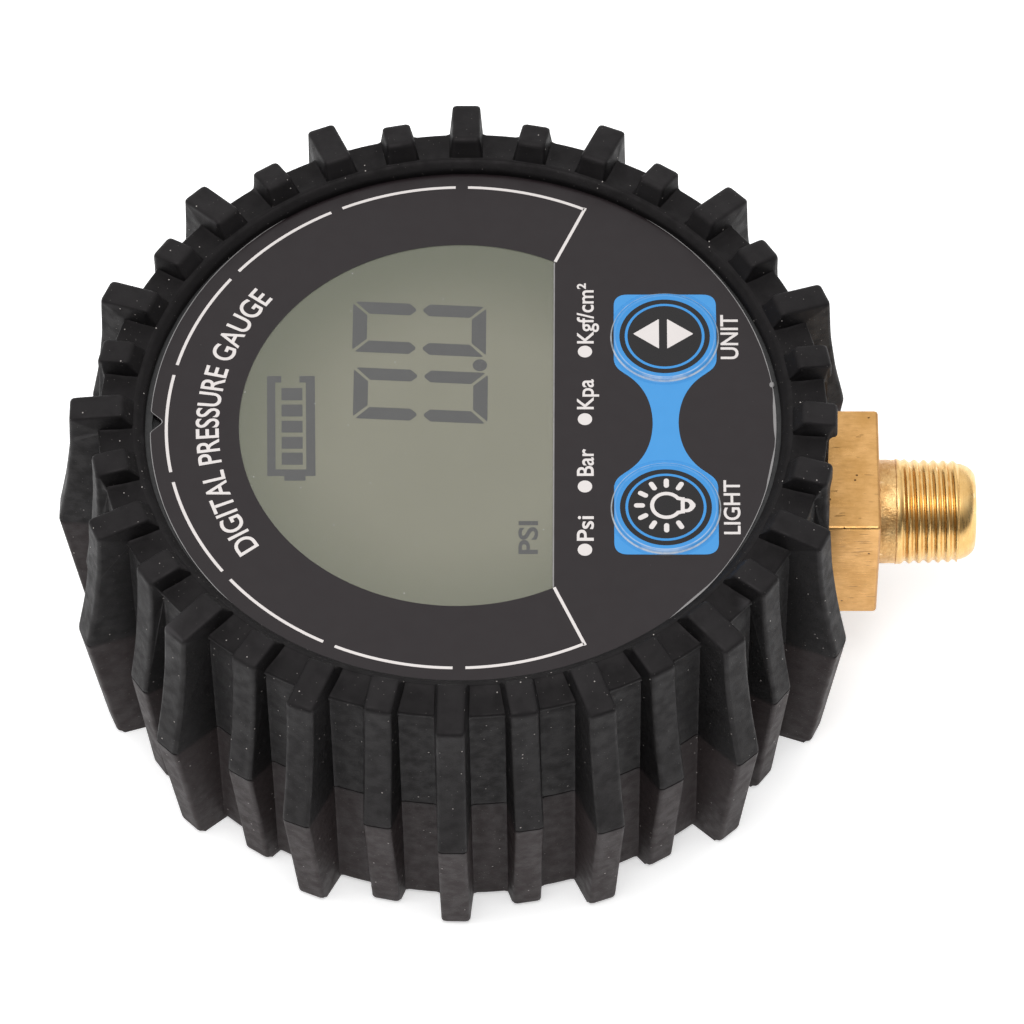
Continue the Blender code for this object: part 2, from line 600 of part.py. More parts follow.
def make_battery_spring(number, x, side, material):
    """Conical coil between a cell's flat end and its contact plate."""
    start = CONTACT_Y - CLEARANCE - CELL_LENGTH
    back = -(CONTACT_Y - CLEARANCE) + 0.3
    front = start - CLEARANCE - 0.3
    turns = 3
    steps = 10 * turns
    curve = bpy.data.curves.new(f"battery_spring_{number}", "CURVE")
    curve.dimensions = "3D"
    curve.bevel_depth = 0.3 * MM
    curve.bevel_resolution = 1
    curve.use_fill_caps = True
    spline = curve.splines.new("POLY")
    spline.points.add(steps)
    for step in range(steps + 1):
        share = step / steps
        angle = 2 * math.pi * turns * share
        radius = 4.0 - 2.2 * share
        distance = back + (front - back) * share
        point = (radius * math.cos(angle), radius * math.sin(angle), distance)
        spline.points[step].co = (*[value * MM for value in point], 1.0)
    spring = bpy.data.objects.new(f"battery_spring_{number}", curve)
    bpy.context.scene.collection.objects.link(spring)
    curve.materials.append(material)
    spring.location = (x * MM, 0, CELL_LEVEL * MM)
    spring.rotation_euler = (math.radians(-90 * side), 0.0, 0.0)


def make_contacts():
    plated = make_material("contact_plate", (0.7, 0.68, 0.62), 0.3, 1.0)
    spring_wire = make_material("spring_wire", *STEEL)
    thickness = 0.3
    for number, (x, side) in enumerate(zip(CELL_PLACES_X, (1, -1)), 1):
        plate = block((-4.2, CONTACT_Y, CELL_LEVEL - 2.2), (4.2, CONTACT_Y + thickness, CELL_LEVEL + 4.2))
        make_object(f"battery_contact_{number}", plate, plated, (x, 0, 0))
        make_battery_spring(number, x, side, spring_wire)
    low = (CELL_PLACES_X[0] - 4.2, -CONTACT_Y - thickness, CELL_LEVEL - 2.2)
    high = (CELL_PLACES_X[1] + 4.2, -CONTACT_Y, CELL_LEVEL + 4.2)
    make_object("battery_link_plate", block(low, high), plated)


def make_battery_door():
    """Door with a screw tab at one end and a hooked tongue at the other."""
    plastic = make_material("battery_door", *CASE_PLASTIC)
    low = (-DOOR_HALF_WIDTH, -DOOR_HALF_LENGTH, 0)
    high = (DOOR_HALF_WIDTH, DOOR_HALF_LENGTH, DOOR_THICKNESS)
    place = (DOOR_CENTRE_X, 0, 0)
    door = make_object("battery_door", block(low, high), plastic, place)
    tab_low = (-DOOR_TAB_HALF_WIDTH, DOOR_HALF_LENGTH - 1, 0)
    join(door, "door_tab", block(tab_low, (DOOR_TAB_HALF_WIDTH, DOOR_TAB_END, 0.9)), place)
    tongue_rise = block((-3.0, -DOOR_HALF_LENGTH + 0.4, 1.2), (3.0, -20.8, 2.7))
    join(door, "door_tongue_rise", tongue_rise, place)
    tongue = block((-3.0, -DOOR_HALF_LENGTH - 1.4, 2.1), (3.0, -20.8, 2.7))
    join(door, "door_tongue", tongue, place)
    cut(door, "door_screw_hole", rod(1.1, -1, 3), (DOOR_CENTRE_X, DOOR_SCREW_Y, 0))
    cut(door, "door_screw_seat", rod(2.0, -1, 0.45), (DOOR_CENTRE_X, DOOR_SCREW_Y, 0))
    head_top = 0.25
    profile = [
        (0, 0), (1.75, 0), (1.75, head_top), (0.7, head_top), (0.7, 4.2), (0, 4.2),
    ]
    steel = make_material("door_screw", *STEEL)
    make_object("door_screw", turned(profile, 12), steel, (DOOR_CENTRE_X, DOOR_SCREW_Y, 0))


def main():
    clear_scene()
    make_rubber_boot()
    make_front_case()
    make_back_case()
    make_case_screws()
    make_face_overlay()
    for name in BUTTON_PLACES:
        make_button(name)
    make_display()
    make_circuit_board()
    make_board_screws()
    make_brass_fitting()
    make_fitting_nut()
    make_sensor()
    make_cells()
    make_contacts()
    make_battery_door()


main()
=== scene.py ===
"""Looks of the digital tire pressure gauge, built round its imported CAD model.

Shapes are made in millimetres in the CAD model's frame: the gauge lies on its back on z = 0, its
dial faces +Z and its threaded fitting points along +X. MM turns them into metres. Pieces that
repeat a CAD node replace it, and the inner parts keep their CAD shape with finished materials.
"""

import json
import math

import bmesh
import bpy
from mathutils import Matrix, Vector, noise


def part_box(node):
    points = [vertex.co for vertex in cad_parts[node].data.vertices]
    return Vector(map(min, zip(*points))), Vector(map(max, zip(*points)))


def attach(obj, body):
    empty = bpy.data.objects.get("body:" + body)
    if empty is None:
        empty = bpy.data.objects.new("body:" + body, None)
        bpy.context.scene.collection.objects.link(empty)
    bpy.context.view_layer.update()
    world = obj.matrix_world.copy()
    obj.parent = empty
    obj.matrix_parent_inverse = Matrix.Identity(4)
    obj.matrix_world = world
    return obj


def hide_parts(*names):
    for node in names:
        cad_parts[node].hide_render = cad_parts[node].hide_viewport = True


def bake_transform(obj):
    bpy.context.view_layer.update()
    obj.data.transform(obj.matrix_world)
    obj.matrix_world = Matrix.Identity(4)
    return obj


MM = 0.001
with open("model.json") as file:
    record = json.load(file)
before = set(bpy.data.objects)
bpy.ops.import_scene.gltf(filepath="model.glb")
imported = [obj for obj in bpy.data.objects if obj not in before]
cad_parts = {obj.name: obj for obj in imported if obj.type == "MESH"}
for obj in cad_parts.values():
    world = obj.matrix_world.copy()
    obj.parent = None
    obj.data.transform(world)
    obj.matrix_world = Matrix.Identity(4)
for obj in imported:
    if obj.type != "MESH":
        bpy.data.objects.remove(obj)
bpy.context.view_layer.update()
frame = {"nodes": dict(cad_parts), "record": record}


def box_mm(node):
    """Lowest and highest corner of a CAD node, in millimetres."""
    return [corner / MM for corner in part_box(node)]


# Levels and places taken from the CAD model
CASE_TOP = box_mm("front_case")[1].z
FILM_BOTTOM, FILM_TOP = (corner.z for corner in box_mm("face_overlay"))
FILM_RADIUS = box_mm("face_overlay")[1].x + 0.5
FITTING_LOW, FITTING_HIGH = box_mm("brass_fitting")
FITTING_LEVEL = (FITTING_LOW.z + FITTING_HIGH.z) / 2
DOOR_LOW, DOOR_HIGH = box_mm("battery_door")
EMBOSSING_SHIFT = {"unit": 0.10, "light": 0.20}
BUTTONS = {}
for button, shift in EMBOSSING_SHIFT.items():
    low, high = box_mm(f"{button}_button")
    BUTTONS[button] = ((low.x + high.x) / 2, (low.y + high.y) / 2 + shift)


# Mesh helpers

def linked(name, data):
    """A new object in the scene."""
    obj = bpy.data.objects.new(name, data)
    bpy.context.scene.collection.objects.link(obj)
    return obj


def add_object(name, bm, materials, body="gauge_body", smooth_angle=35.0, weighted=False):
    """Makes an object in metres from a bmesh in millimetres, riding on a CAD body if one is named."""
    bmesh.ops.recalc_face_normals(bm, faces=bm.faces)
    bmesh.ops.scale(bm, vec=(MM, MM, MM), verts=bm.verts)
    mesh = bpy.data.meshes.new(name)
    bm.to_mesh(mesh)
    bm.free()
    mesh.shade_smooth()
    mesh.set_sharp_from_angle(angle=math.radians(smooth_angle))
    obj = linked(name, mesh)
    for material in materials:
        mesh.materials.append(material)
    if weighted:
        obj.modifiers.new("weighted", "WEIGHTED_NORMAL").keep_sharp = True
    if body:
        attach(obj, body)
    return obj


def add_skin(bm, ring, following, material=0):
    """Faces between two closed rings of equal length. Corners that fall together make a triangle."""
    for step in range(len(ring)):
        after = (step + 1) % len(ring)
        corners = list(dict.fromkeys((ring[step], ring[after], following[after], following[step])))
        if len(corners) > 2:
            bm.faces.new(corners).material_index = material


def turned(profile, steps, centre=(0.0, 0.0), closed=True):
    """A (radius, height) outline turned about a vertical axis. A radius of 0 is a point on the axis."""
    bm = bmesh.new()
    add_turned(bm, profile, steps, centre, closed)
    return bm


def add_turned(bm, profile, steps, centre=(0.0, 0.0), closed=True, material=0):
    rings = []
    for radius, height in profile:
        if radius == 0:
            rings.append([bm.verts.new((centre[0], centre[1], height))] * steps)
            continue
        ring = []
        for step in range(steps):
            angle = 2 * math.pi * step / steps
            x = centre[0] + radius * math.cos(angle)
            y = centre[1] + radius * math.sin(angle)
            ring.append(bm.verts.new((x, y, height)))
        rings.append(ring)
    pairs = list(zip(rings, rings[1:]))
    if closed:
        pairs.append((rings[-1], rings[0]))
    for low, high in pairs:
        add_skin(bm, low, high, material)


def add_prism(bm, outline, bottom, top, material=0):
    """An outline of (x, y) corners raised from bottom to top."""
    low = [bm.verts.new((x, y, bottom)) for x, y in outline]
    high = [bm.verts.new((x, y, top)) for x, y in outline]
    for cap in (low[::-1], high):
        bm.faces.new(cap).material_index = material
    add_skin(bm, low, high, material)


def prism(outline, bottom, top):
    bm = bmesh.new()
    add_prism(bm, outline, bottom, top)
    return bm


def add_ribbon(bm, inner, outer, bottom, top, closed=False):
    """A flat band between two lines of equal length, with a small thickness."""
    rows = [[bm.verts.new((x, y, z)) for x, y in line]
            for line, z in ((inner, bottom), (outer, bottom), (outer, top), (inner, top))]
    for row, beside in zip(rows, rows[1:] + rows[:1]):
        for step in range(len(inner) - 1):
            bm.faces.new((row[step], row[step + 1], beside[step + 1], beside[step]))
    if closed:
        bmesh.ops.remove_doubles(bm, verts=[row[end] for row in rows for end in (0, -1)], dist=1e-4)
        return
    for end in (0, -1):
        bm.faces.new([row[end] for row in rows])


def add_block(bm, low, high, edge=0.0, cuts=0):
    """A rectangular block, with its edges rounded by edge and its faces divided by cuts."""
    made = bmesh.ops.create_cube(bm, size=1.0)["verts"]
    size = [b - a for a, b in zip(low, high)]
    middle = [(a + b) / 2 for a, b in zip(low, high)]
    bmesh.ops.scale(bm, vec=size, verts=made)
    bmesh.ops.translate(bm, vec=middle, verts=made)
    edges = {side for vert in made for side in vert.link_edges}
    if edge:
        bevelled = bmesh.ops.bevel(bm, geom=list(edges), offset=edge, segments=3, profile=0.5, affect="EDGES")
        edges = {side for face in bm.faces if face not in bevelled["faces"] for side in face.edges}
    if cuts:
        bmesh.ops.subdivide_edges(bm, edges=list(edges), cuts=cuts, use_grid_fill=True)


def combined(obj, name, bm, operation):
    """Cuts a shape from an object, or joins it on, and keeps the result as the object's mesh."""
    tool = add_object(name, bm, [], body=None)
    modifier = obj.modifiers.new(name, "BOOLEAN")
    modifier.operation = operation
    modifier.object = tool
    modifier.solver = "EXACT"
    shown = obj.modifiers.get("weighted")
    if shown:
        shown.show_viewport = False
    graph = bpy.context.evaluated_depsgraph_get()
    made = bpy.data.meshes.new_from_object(obj.evaluated_get(graph), depsgraph=graph)
    obj.modifiers.remove(modifier)
    if shown:
        shown.show_viewport = True
    before = obj.data
    obj.data = made
    bpy.data.meshes.remove(before)
    made.name = obj.name
    bpy.data.objects.remove(tool)


def combined_block(obj, name, low, high, edge=0.0, operation="DIFFERENCE"):
    """Cuts a block from an object, or joins it on."""
    bm = bmesh.new()
    add_block(bm, low, high, edge)
    combined(obj, name, bm, operation)


def sharpen(obj, degrees):
    """Marks the edges that are sharper than an angle."""
    obj.data.set_sharp_from_angle(angle=math.radians(degrees))


def arc(radius, start, end, steps, centre=(0.0, 0.0)):
    """Points on an arc, angles in degrees."""
    angles = [math.radians(start + (end - start) * step / steps) for step in range(steps + 1)]
    return [(centre[0] + radius * math.cos(a), centre[1] + radius * math.sin(a)) for a in angles]


def bent(start, bend, end, share):
    """A point on the curve from start to end that is drawn towards bend."""
    return start.lerp(bend, share).lerp(bend.lerp(end, share), share)


def filleted(corners, steps=3):
    """A line through (a, b, cut) corners, where cut is how far from the corner its rounding starts."""
    line = []
    for index, (a, b, cut) in enumerate(corners):
        point = Vector((a, b))
        if not cut or index in (0, len(corners) - 1):
            line.append((a, b))
            continue
        before = (Vector(corners[index - 1][:2]) - point).normalized() * cut + point
        after = (Vector(corners[index + 1][:2]) - point).normalized() * cut + point
        for step in range(steps + 1):
            spot = bent(before, point, after, step / steps)
            line.append((spot.x, spot.y))
    return line


# Shader helper

class Shader:
    """A Principled material, with the few kinds of node that the looks below are made of."""

    def __init__(self, name, **sockets):
        self.material = bpy.data.materials.new(name)
        self.material.use_nodes = True
        self.tree = self.material.node_tree
        self.bsdf = self.tree.nodes["Principled BSDF"]
        for socket, value in sockets.items():
            self.bsdf.inputs[socket.replace("_", " ")].default_value = value
        coordinates = self.tree.nodes.new("ShaderNodeTexCoord")
        self.place = self.vector("SCALE", coordinates.outputs["Object"], Scale=1 / MM)

    def node(self, kind, settings, inputs):
        made = self.tree.nodes.new(kind)
        for name, value in settings.items():
            setattr(made, name, value)
        for name, value in inputs.items():
            self.feed(made.inputs[name], value)
        return made

    def feed(self, socket, value):
        if isinstance(value, bpy.types.NodeSocket):
            self.tree.links.new(value, socket)
        elif isinstance(value, tuple) and len(value) == 3 and socket.type == "RGBA":
            socket.default_value = (*value, 1.0)
        else:
            socket.default_value = value

    def vector(self, operation, first, second=None, Scale=None):
        inputs = {0: first}
        if second is not None:
            inputs[1] = second
        if Scale is not None:
            inputs["Scale"] = Scale
        return self.node("ShaderNodeVectorMath", {"operation": operation}, inputs).outputs[0]

    def math(self, operation, first, second=0.0, clamp=False):
        settings = {"operation": operation, "use_clamp": clamp}
        return self.node("ShaderNodeMath", settings, {0: first, 1: second}).outputs[0]

    def times(self, first, second):
        return self.math("MULTIPLY", first, second)

    def from_centre(self, x, y):
        """Distance from an upright line, in millimetres."""
        flat = self.vector("MULTIPLY", self.vector("SUBTRACT", self.place, (x, y, 0.0)), (1.0, 1.0, 0.0))
        return self.node("ShaderNodeVectorMath", {"operation": "LENGTH"}, {0: flat}).outputs["Value"]

    def axis(self, name):
        """One coordinate of the position, in millimetres."""
        return self.node("ShaderNodeSeparateXYZ", {}, {0: self.place}).outputs[name]

    def noise(self, scale, detail=3.0, roughness=0.5, stretch=None):
        place = self.vector("MULTIPLY", self.place, stretch) if stretch else self.place
        inputs = {"Vector": place, "Scale": scale, "Detail": detail, "Roughness": roughness}
        return self.node("ShaderNodeTexNoise", {}, inputs).outputs["Fac"]

    def cells(self, scale, stretch=None):
        place = self.vector("MULTIPLY", self.place, stretch) if stretch else self.place
        return self.node("ShaderNodeTexVoronoi", {}, {"Vector": place, "Scale": scale})

    def specks(self, scale, radius, share):
        """Scattered dots: 1 inside a dot, in the given share of the cells."""
        cells = self.cells(scale)
        inside = self.span(cells.outputs["Distance"], radius, radius * 0.5)
        lot = self.node("ShaderNodeSeparateColor", {}, {0: cells.outputs["Color"]}).outputs[0]
        return self.times(inside, self.math("LESS_THAN", lot, share))

    def span(self, value, start, end, low=0.0, high=1.0):
        """Value stretched so that start becomes low and end becomes high, with smooth ends."""
        inputs = {"Value": value, "From Min": start, "From Max": end, "To Min": low, "To Max": high}
        return self.node("ShaderNodeMapRange", {"interpolation_type": "SMOOTHSTEP"}, inputs).outputs[0]

    def blend(self, share, first, second):
        made = self.node("ShaderNodeMix", {"data_type": "RGBA"}, {0: share})
        self.feed(made.inputs[6], first)
        self.feed(made.inputs[7], second)
        return made.outputs[2]

    def edges(self, start, end):
        """Near 1 on outward edges, from the mesh's own curvature."""
        geometry = self.tree.nodes.new("ShaderNodeNewGeometry")
        return self.span(geometry.outputs["Pointiness"], start, end)

    def bump(self, height, depth, under=None):
        inputs = {"Height": height, "Distance": depth * MM, "Strength": 1.0}
        if under:
            inputs["Normal"] = under
        return self.node("ShaderNodeBump", {}, inputs).outputs[0]

    def finish(self, colour, roughness, normal=None):
        self.feed(self.bsdf.inputs["Base Color"], colour)
        self.feed(self.bsdf.inputs["Roughness"], roughness)
        if normal:
            self.feed(self.bsdf.inputs["Normal"], normal)
        return self.material


def moulded(name, dark, light, rough=(0.4, 0.55), grain=(3.0, 0.02), dust=0.0, **sockets):
    """A moulded or coated surface: mottled colour, fine grain, paler edges and a little dust."""
    shader = Shader(name, **sockets)
    colour = shader.blend(shader.noise(0.35, 4.0), dark, light)
    worn = tuple(min(1.0, 1.5 * value + 0.01) for value in light)
    colour = shader.blend(shader.times(shader.edges(0.52, 0.62), 0.6), colour, worn)
    if dust:
        colour = shader.blend(shader.specks(0.8, 0.05, dust), colour, (0.42, 0.40, 0.38))
    fine = shader.noise(grain[0], 4.0, 0.6)
    roughness = shader.span(shader.noise(1.1, 3.0), 0.3, 0.7, *rough)
    return shader.finish(colour, roughness, shader.bump(fine, grain[1]))


# Materials

def rubber_material():
    """Black rubber: fine grain, dull bloom, lint and dust on the surface, with painted shade darkening
    everything below the lug tops and painted bounce light making the lower half below the mould line paler.
    """
    shader = Shader("boot_rubber", Specular_IOR_Level=0.23, Specular_Tint=(1.0, 0.93, 0.95, 1.0))
    patches = shader.noise(0.16, 5.0, 0.6)
    colour = shader.blend(shader.span(patches, 0.35, 0.7), (0.0050, 0.0047, 0.0050), (0.0100, 0.0094, 0.0098))
    # Painted shade: below the lug tops the rubber is painted darker, standing in for the shade on the boot's
    # sides and valleys.
    below_top = shader.span(shader.axis("Z"), 34.0, 33.0)
    shaded_flank = shader.times(below_top, shader.span(patches, 0.3, 0.7, 0.6, 1.0))
    colour = shader.blend(shaded_flank, colour, (0.0016, 0.0015, 0.0016))
    # Painted light: below the mould line the rubber is painted paler, standing in for the light that bounces
    # up from the floor onto the lower half.
    lower = shader.span(shader.axis("Z"), 17.2, 16.4)
    streaks = shader.noise(2.2, 5.0, 0.7)
    bounce_light_share = shader.times(lower, shader.span(streaks, 0.2, 0.8, 0.6, 1.0))
    colour = shader.blend(bounce_light_share, colour, (0.0265, 0.0185, 0.0185))
    worn = shader.times(shader.edges(0.56, 0.70), shader.span(patches, 0.3, 0.6, 0.2, 0.8))
    colour = shader.blend(worn, colour, (0.045, 0.043, 0.045))
    fine_dust = shader.times(shader.specks(2.1, 0.11, 0.5), 0.22)
    dust = shader.math("MAXIMUM", shader.specks(0.9, 0.085, 0.7), fine_dust)
    colour = shader.blend(dust, colour, (0.42, 0.39, 0.37))
    roughness = shader.span(shader.noise(0.8, 4.0), 0.3, 0.75, 0.50, 0.68)
    grain = shader.bump(shader.noise(5.0, 5.0, 0.65), 0.022)
    waves = shader.bump(shader.noise(0.22, 1.0), 0.04, grain)
    return shader.finish(colour, roughness, shader.bump(dust, 0.05, waves))


def film_material(name, dark, light, rough=(0.28, 0.40), mottle=0.6, **sockets):
    """A print on smooth plastic film, with faint scuffs, fine specks and an almost flat surface."""
    shader = Shader(name, **sockets)
    colour = shader.blend(shader.noise(mottle, 4.0), dark, light)
    specks = shader.times(shader.specks(0.9, 0.05, 0.12), 0.7)
    colour = shader.blend(specks, colour, tuple(0.5 * value + 0.12 for value in light))
    scuffs = shader.noise(0.7, 5.0, 0.7)
    roughness = shader.span(scuffs, 0.3, 0.75, *rough)
    texture = shader.bump(shader.noise(5.0, 3.0), 0.004)
    return shader.finish(colour, roughness, shader.bump(shader.noise(0.15, 1.0), 0.06, texture))


def glass_material():
    """Display glass: grey-green, evenly grained, darker towards the rim of the window: partly the display's
    own falloff, partly painted shade cast by the window's edge.
    """
    shader = Shader("lcd_glass", Coat_Weight=0.5, Coat_Roughness=0.06, Specular_IOR_Level=0.3)
    distance = shader.from_centre(-0.4, -1.0)
    centre = shader.blend(shader.noise(0.10, 3.0), (0.160, 0.155, 0.102), (0.184, 0.178, 0.121))
    # Painted shade: the glass darkens towards the window's rim, more on the +Y side, partly standing in for
    # the shade that the window's edge casts.
    tilted = shader.math("ADD", distance, shader.times(shader.axis("Y"), 0.08))
    rim = shader.span(tilted, 10.0, 24.0)
    colour = shader.blend(rim, centre, (0.076, 0.081, 0.040))
    grain = shader.noise(9.0, 2.0)
    colour = shader.blend(shader.span(grain, 0.3, 0.7, 0.0, 0.10), colour, (0.11, 0.11, 0.09))
    return shader.finish(colour, shader.span(grain, 0.3, 0.7, 0.30, 0.42), shader.bump(grain, 0.002))


def brass_material(name, dark, light, rough, brush, brush_depth, pits=0.0, nicks=False, worn=True):
    """Machined brass: tarnish patches, tool marks along one direction, bright worn edges."""
    shader = Shader(name, Metallic=1.0)
    patches = shader.noise(0.35, 5.0, 0.6)
    colour = shader.blend(shader.span(patches, 0.3, 0.7), dark, light)
    marks = shader.noise(1.6, 5.0, 0.7, brush)
    colour = shader.blend(shader.span(marks, 0.45, 0.8, 0.0, 0.45), colour, tuple(0.72 * v for v in dark))
    if worn:
        colour = shader.blend(shader.edges(0.53, 0.60), colour, (0.92, 0.66, 0.36))
    roughness = shader.span(marks, 0.3, 0.7, *rough)
    normal = shader.bump(marks, brush_depth)
    if pits:
        normal = shader.bump(shader.noise(2.4, 4.0, 0.7), pits, normal)
    if nicks:
        scratches = shader.span(shader.noise(1.3, 2.0, 0.5, (0.35, 2.5, 2.5)), 0.66, 0.70, 0.0, 0.4)
        spots = shader.math("MAXIMUM", shader.specks(0.8, 0.11, 0.5), scratches)
        # A darker band along the block's end edge at X = 40.28.
        end_distance = shader.math("ABSOLUTE", shader.math("SUBTRACT", shader.axis("X"), 40.28))
        colour = shader.blend(shader.span(end_distance, 0.34, 0.10, 0.0, 0.55), colour, (0.34, 0.17, 0.055))
        colour = shader.blend(spots, colour, (0.16, 0.08, 0.03))
        normal = shader.bump(spots, -0.05, normal)
    return shader.finish(colour, roughness, normal)


def steel_material(name, colour, rough=(0.22, 0.40)):
    """Plated steel: fine turning marks and small dull patches."""
    shader = Shader(name, Metallic=1.0)
    marks = shader.noise(2.0, 4.0, 0.6, (1.0, 1.0, 6.0))
    patches = shader.blend(shader.noise(0.9, 3.0), tuple(0.72 * value for value in colour), colour)
    mottled = shader.blend(shader.specks(1.6, 0.10, 0.15), patches, (0.22, 0.20, 0.18))
    return shader.finish(mottled, shader.span(marks, 0.3, 0.7, *rough), shader.bump(marks, 0.006))


def board_material():
    """Circuit board: green mask over copper traces and pads."""
    shader = Shader("circuit_board", Coat_Weight=0.3, Coat_Roughness=0.2)
    cells = shader.cells(0.22, (1.0, 1.0, 0.0))
    settings = {"feature": "DISTANCE_TO_EDGE", "distance": "EUCLIDEAN"}
    flat = shader.vector("MULTIPLY", shader.place, (1.0, 1.0, 0.0))
    lines = shader.node("ShaderNodeTexVoronoi", settings, {"Vector": flat, "Scale": 0.45}).outputs[0]
    trace = shader.span(lines, 0.10, 0.06)
    mask = shader.blend(shader.noise(0.5, 3.0), (0.012, 0.095, 0.045), (0.02, 0.13, 0.06))
    colour = shader.blend(trace, mask, (0.03, 0.22, 0.09))
    pads = shader.span(cells.outputs["Distance"], 0.16, 0.12)
    colour = shader.blend(pads, colour, (0.62, 0.50, 0.22))
    height = shader.math("ADD", trace, pads)
    return shader.finish(colour, shader.span(pads, 0.0, 1.0, 0.42, 0.25), shader.bump(height, 0.03))


def cell_material():
    """Plain battery jacket: a dark end band, printed lines and shrink-film wrinkles."""
    shader = Shader("cell_jacket", Metallic=0.35, Coat_Weight=0.4, Coat_Roughness=0.15)
    wave = shader.noise(0.7, 4.0, 0.5, (1.0, 3.0, 1.0))
    silver = shader.blend(wave, (0.36, 0.37, 0.39), (0.50, 0.51, 0.53))
    band = shader.span(shader.math("ABSOLUTE", shader.axis("Y")), 12.0, 12.6)
    colour = shader.blend(band, silver, (0.035, 0.035, 0.04))
    line = shader.math("COMPARE", shader.math("ABSOLUTE", shader.axis("Y")), 11.2)
    line.node.inputs[2].default_value = 0.25
    colour = shader.blend(line, colour, (0.05, 0.05, 0.055))
    return shader.finish(colour, shader.span(wave, 0.3, 0.7, 0.25, 0.4), shader.bump(wave, 0.02))


RUBBER = rubber_material()
FILM_BLACK = film_material("overlay_film", (0.0075, 0.0030, 0.0044), (0.0125, 0.0078, 0.0092),
                           rough=(0.30, 0.42), Specular_IOR_Level=0.40)
# Painted highlight for the film's cut edges, where they catch the light.
FILM_EDGE_HIGHLIGHT = film_material("film_edge", (0.20, 0.19, 0.19), (0.30, 0.29, 0.29), rough=(0.25, 0.4))
PRINT_WHITE = film_material("print_white", (0.69, 0.645, 0.630), (0.75, 0.705, 0.685), rough=(0.40, 0.55))
PRINT_BLUE = film_material("print_blue", (0.040, 0.280, 0.650), (0.050, 0.305, 0.695), rough=(0.30, 0.42))
KEY_BLACK = film_material("key_print_black", (0.0035, 0.0026, 0.0032), (0.0070, 0.0050, 0.0058),
                          rough=(0.24, 0.34), Specular_IOR_Level=0.40)
KEY_BLUE = film_material("key_print_blue", (0.032, 0.260, 0.630), (0.044, 0.290, 0.680),
                         rough=(0.24, 0.34), Specular_IOR_Level=0.40)
SEGMENT = film_material("lcd_segment", (0.024, 0.023, 0.024), (0.033, 0.032, 0.032), rough=(0.32, 0.42))
GLASS = glass_material()
CASE_PLASTIC = moulded("case_plastic", (0.010, 0.010, 0.0105), (0.016, 0.016, 0.0165),
                       rough=(0.48, 0.64), grain=(3.6, 0.030), dust=0.10)
BRASS_BLOCK = brass_material("brass_block", (0.57, 0.310, 0.102), (0.74, 0.425, 0.165), (0.26, 0.42),
                             (0.5, 3.0, 3.0), 0.012, nicks=True, worn=False)
BRASS_NECK = brass_material("brass_neck", (0.56, 0.31, 0.11), (0.88, 0.60, 0.28), (0.26, 0.42),
                            (3.0, 1.0, 1.0), 0.02, pits=0.10)
BRASS_THREAD = brass_material("brass_thread", (0.74, 0.45, 0.16), (0.86, 0.58, 0.25), (0.22, 0.36),
                              (3.0, 0.6, 0.6), 0.008)
STEEL = steel_material("steel", (0.58, 0.58, 0.59))
INNER_LOOKS = {
    "key_plastic": moulded("key_plastic", (0.012, 0.012, 0.012), (0.02, 0.02, 0.02)),
    "switch_stem": moulded("switch_stem", (0.62, 0.61, 0.57), (0.72, 0.71, 0.67)),
    "switch_body": moulded("switch_body", (0.014, 0.014, 0.015), (0.024, 0.024, 0.025)),
    "white_plastic": moulded("white_plastic", (0.60, 0.60, 0.57), (0.72, 0.72, 0.69)),
    "light_guide": moulded("light_guide", (0.66, 0.68, 0.66), (0.80, 0.82, 0.80), (0.12, 0.25), (1.5, 0.01)),
    "led": moulded("led", (0.80, 0.74, 0.42), (0.92, 0.88, 0.62), (0.2, 0.3)),
    "connector_rubber": moulded("connector_rubber", (0.40, 0.20, 0.24), (0.52, 0.28, 0.33), (0.5, 0.65)),
    "circuit_board": board_material(),
    "chip_black": moulded("chip_black", (0.012, 0.012, 0.013), (0.022, 0.022, 0.024), (0.35, 0.5),
                          (6.0, 0.01)),
    "brass": BRASS_BLOCK,
    "steel": STEEL,
    "seal_rubber": moulded("seal_rubber", (0.008, 0.008, 0.008), (0.016, 0.016, 0.016), (0.4, 0.55)),
    "ribbon_film": moulded("ribbon_film", (0.42, 0.19, 0.035), (0.58, 0.29, 0.07), (0.2, 0.35), (2.0, 0.01)),
    "cell_jacket": cell_material(),
    "contact_metal": steel_material("contact_metal", (0.66, 0.62, 0.52)),
    "case_plastic": CASE_PLASTIC,
}


# Rubber boot

LUG_COUNT = 32
LUG_HALF_WIDTH = 1.38
ROOT_HALF_WIDTH = 1.53
BOOT_STRETCH = 0.0134
LUG_GROWTH_DIRECTION = 280
LUG_SHIFT = 2.1
LUG_SHIFT_DIRECTION = 318
LIP = [(30.16, 31.98, 0), (30.18, 32.55, 0.3), (31.0, 33.24, 0.3)]
LUG_START = (31.2, 33.25, 0.1)


def mould_line(above, edge, groove, below):
    """The fine groove round the boot's middle, from the radii at and beside it."""
    return [(above, 17.6, 0), (edge, 17.1, 0), (groove, 17.0, 0), (edge, 16.9, 0), (below, 16.4, 0)]


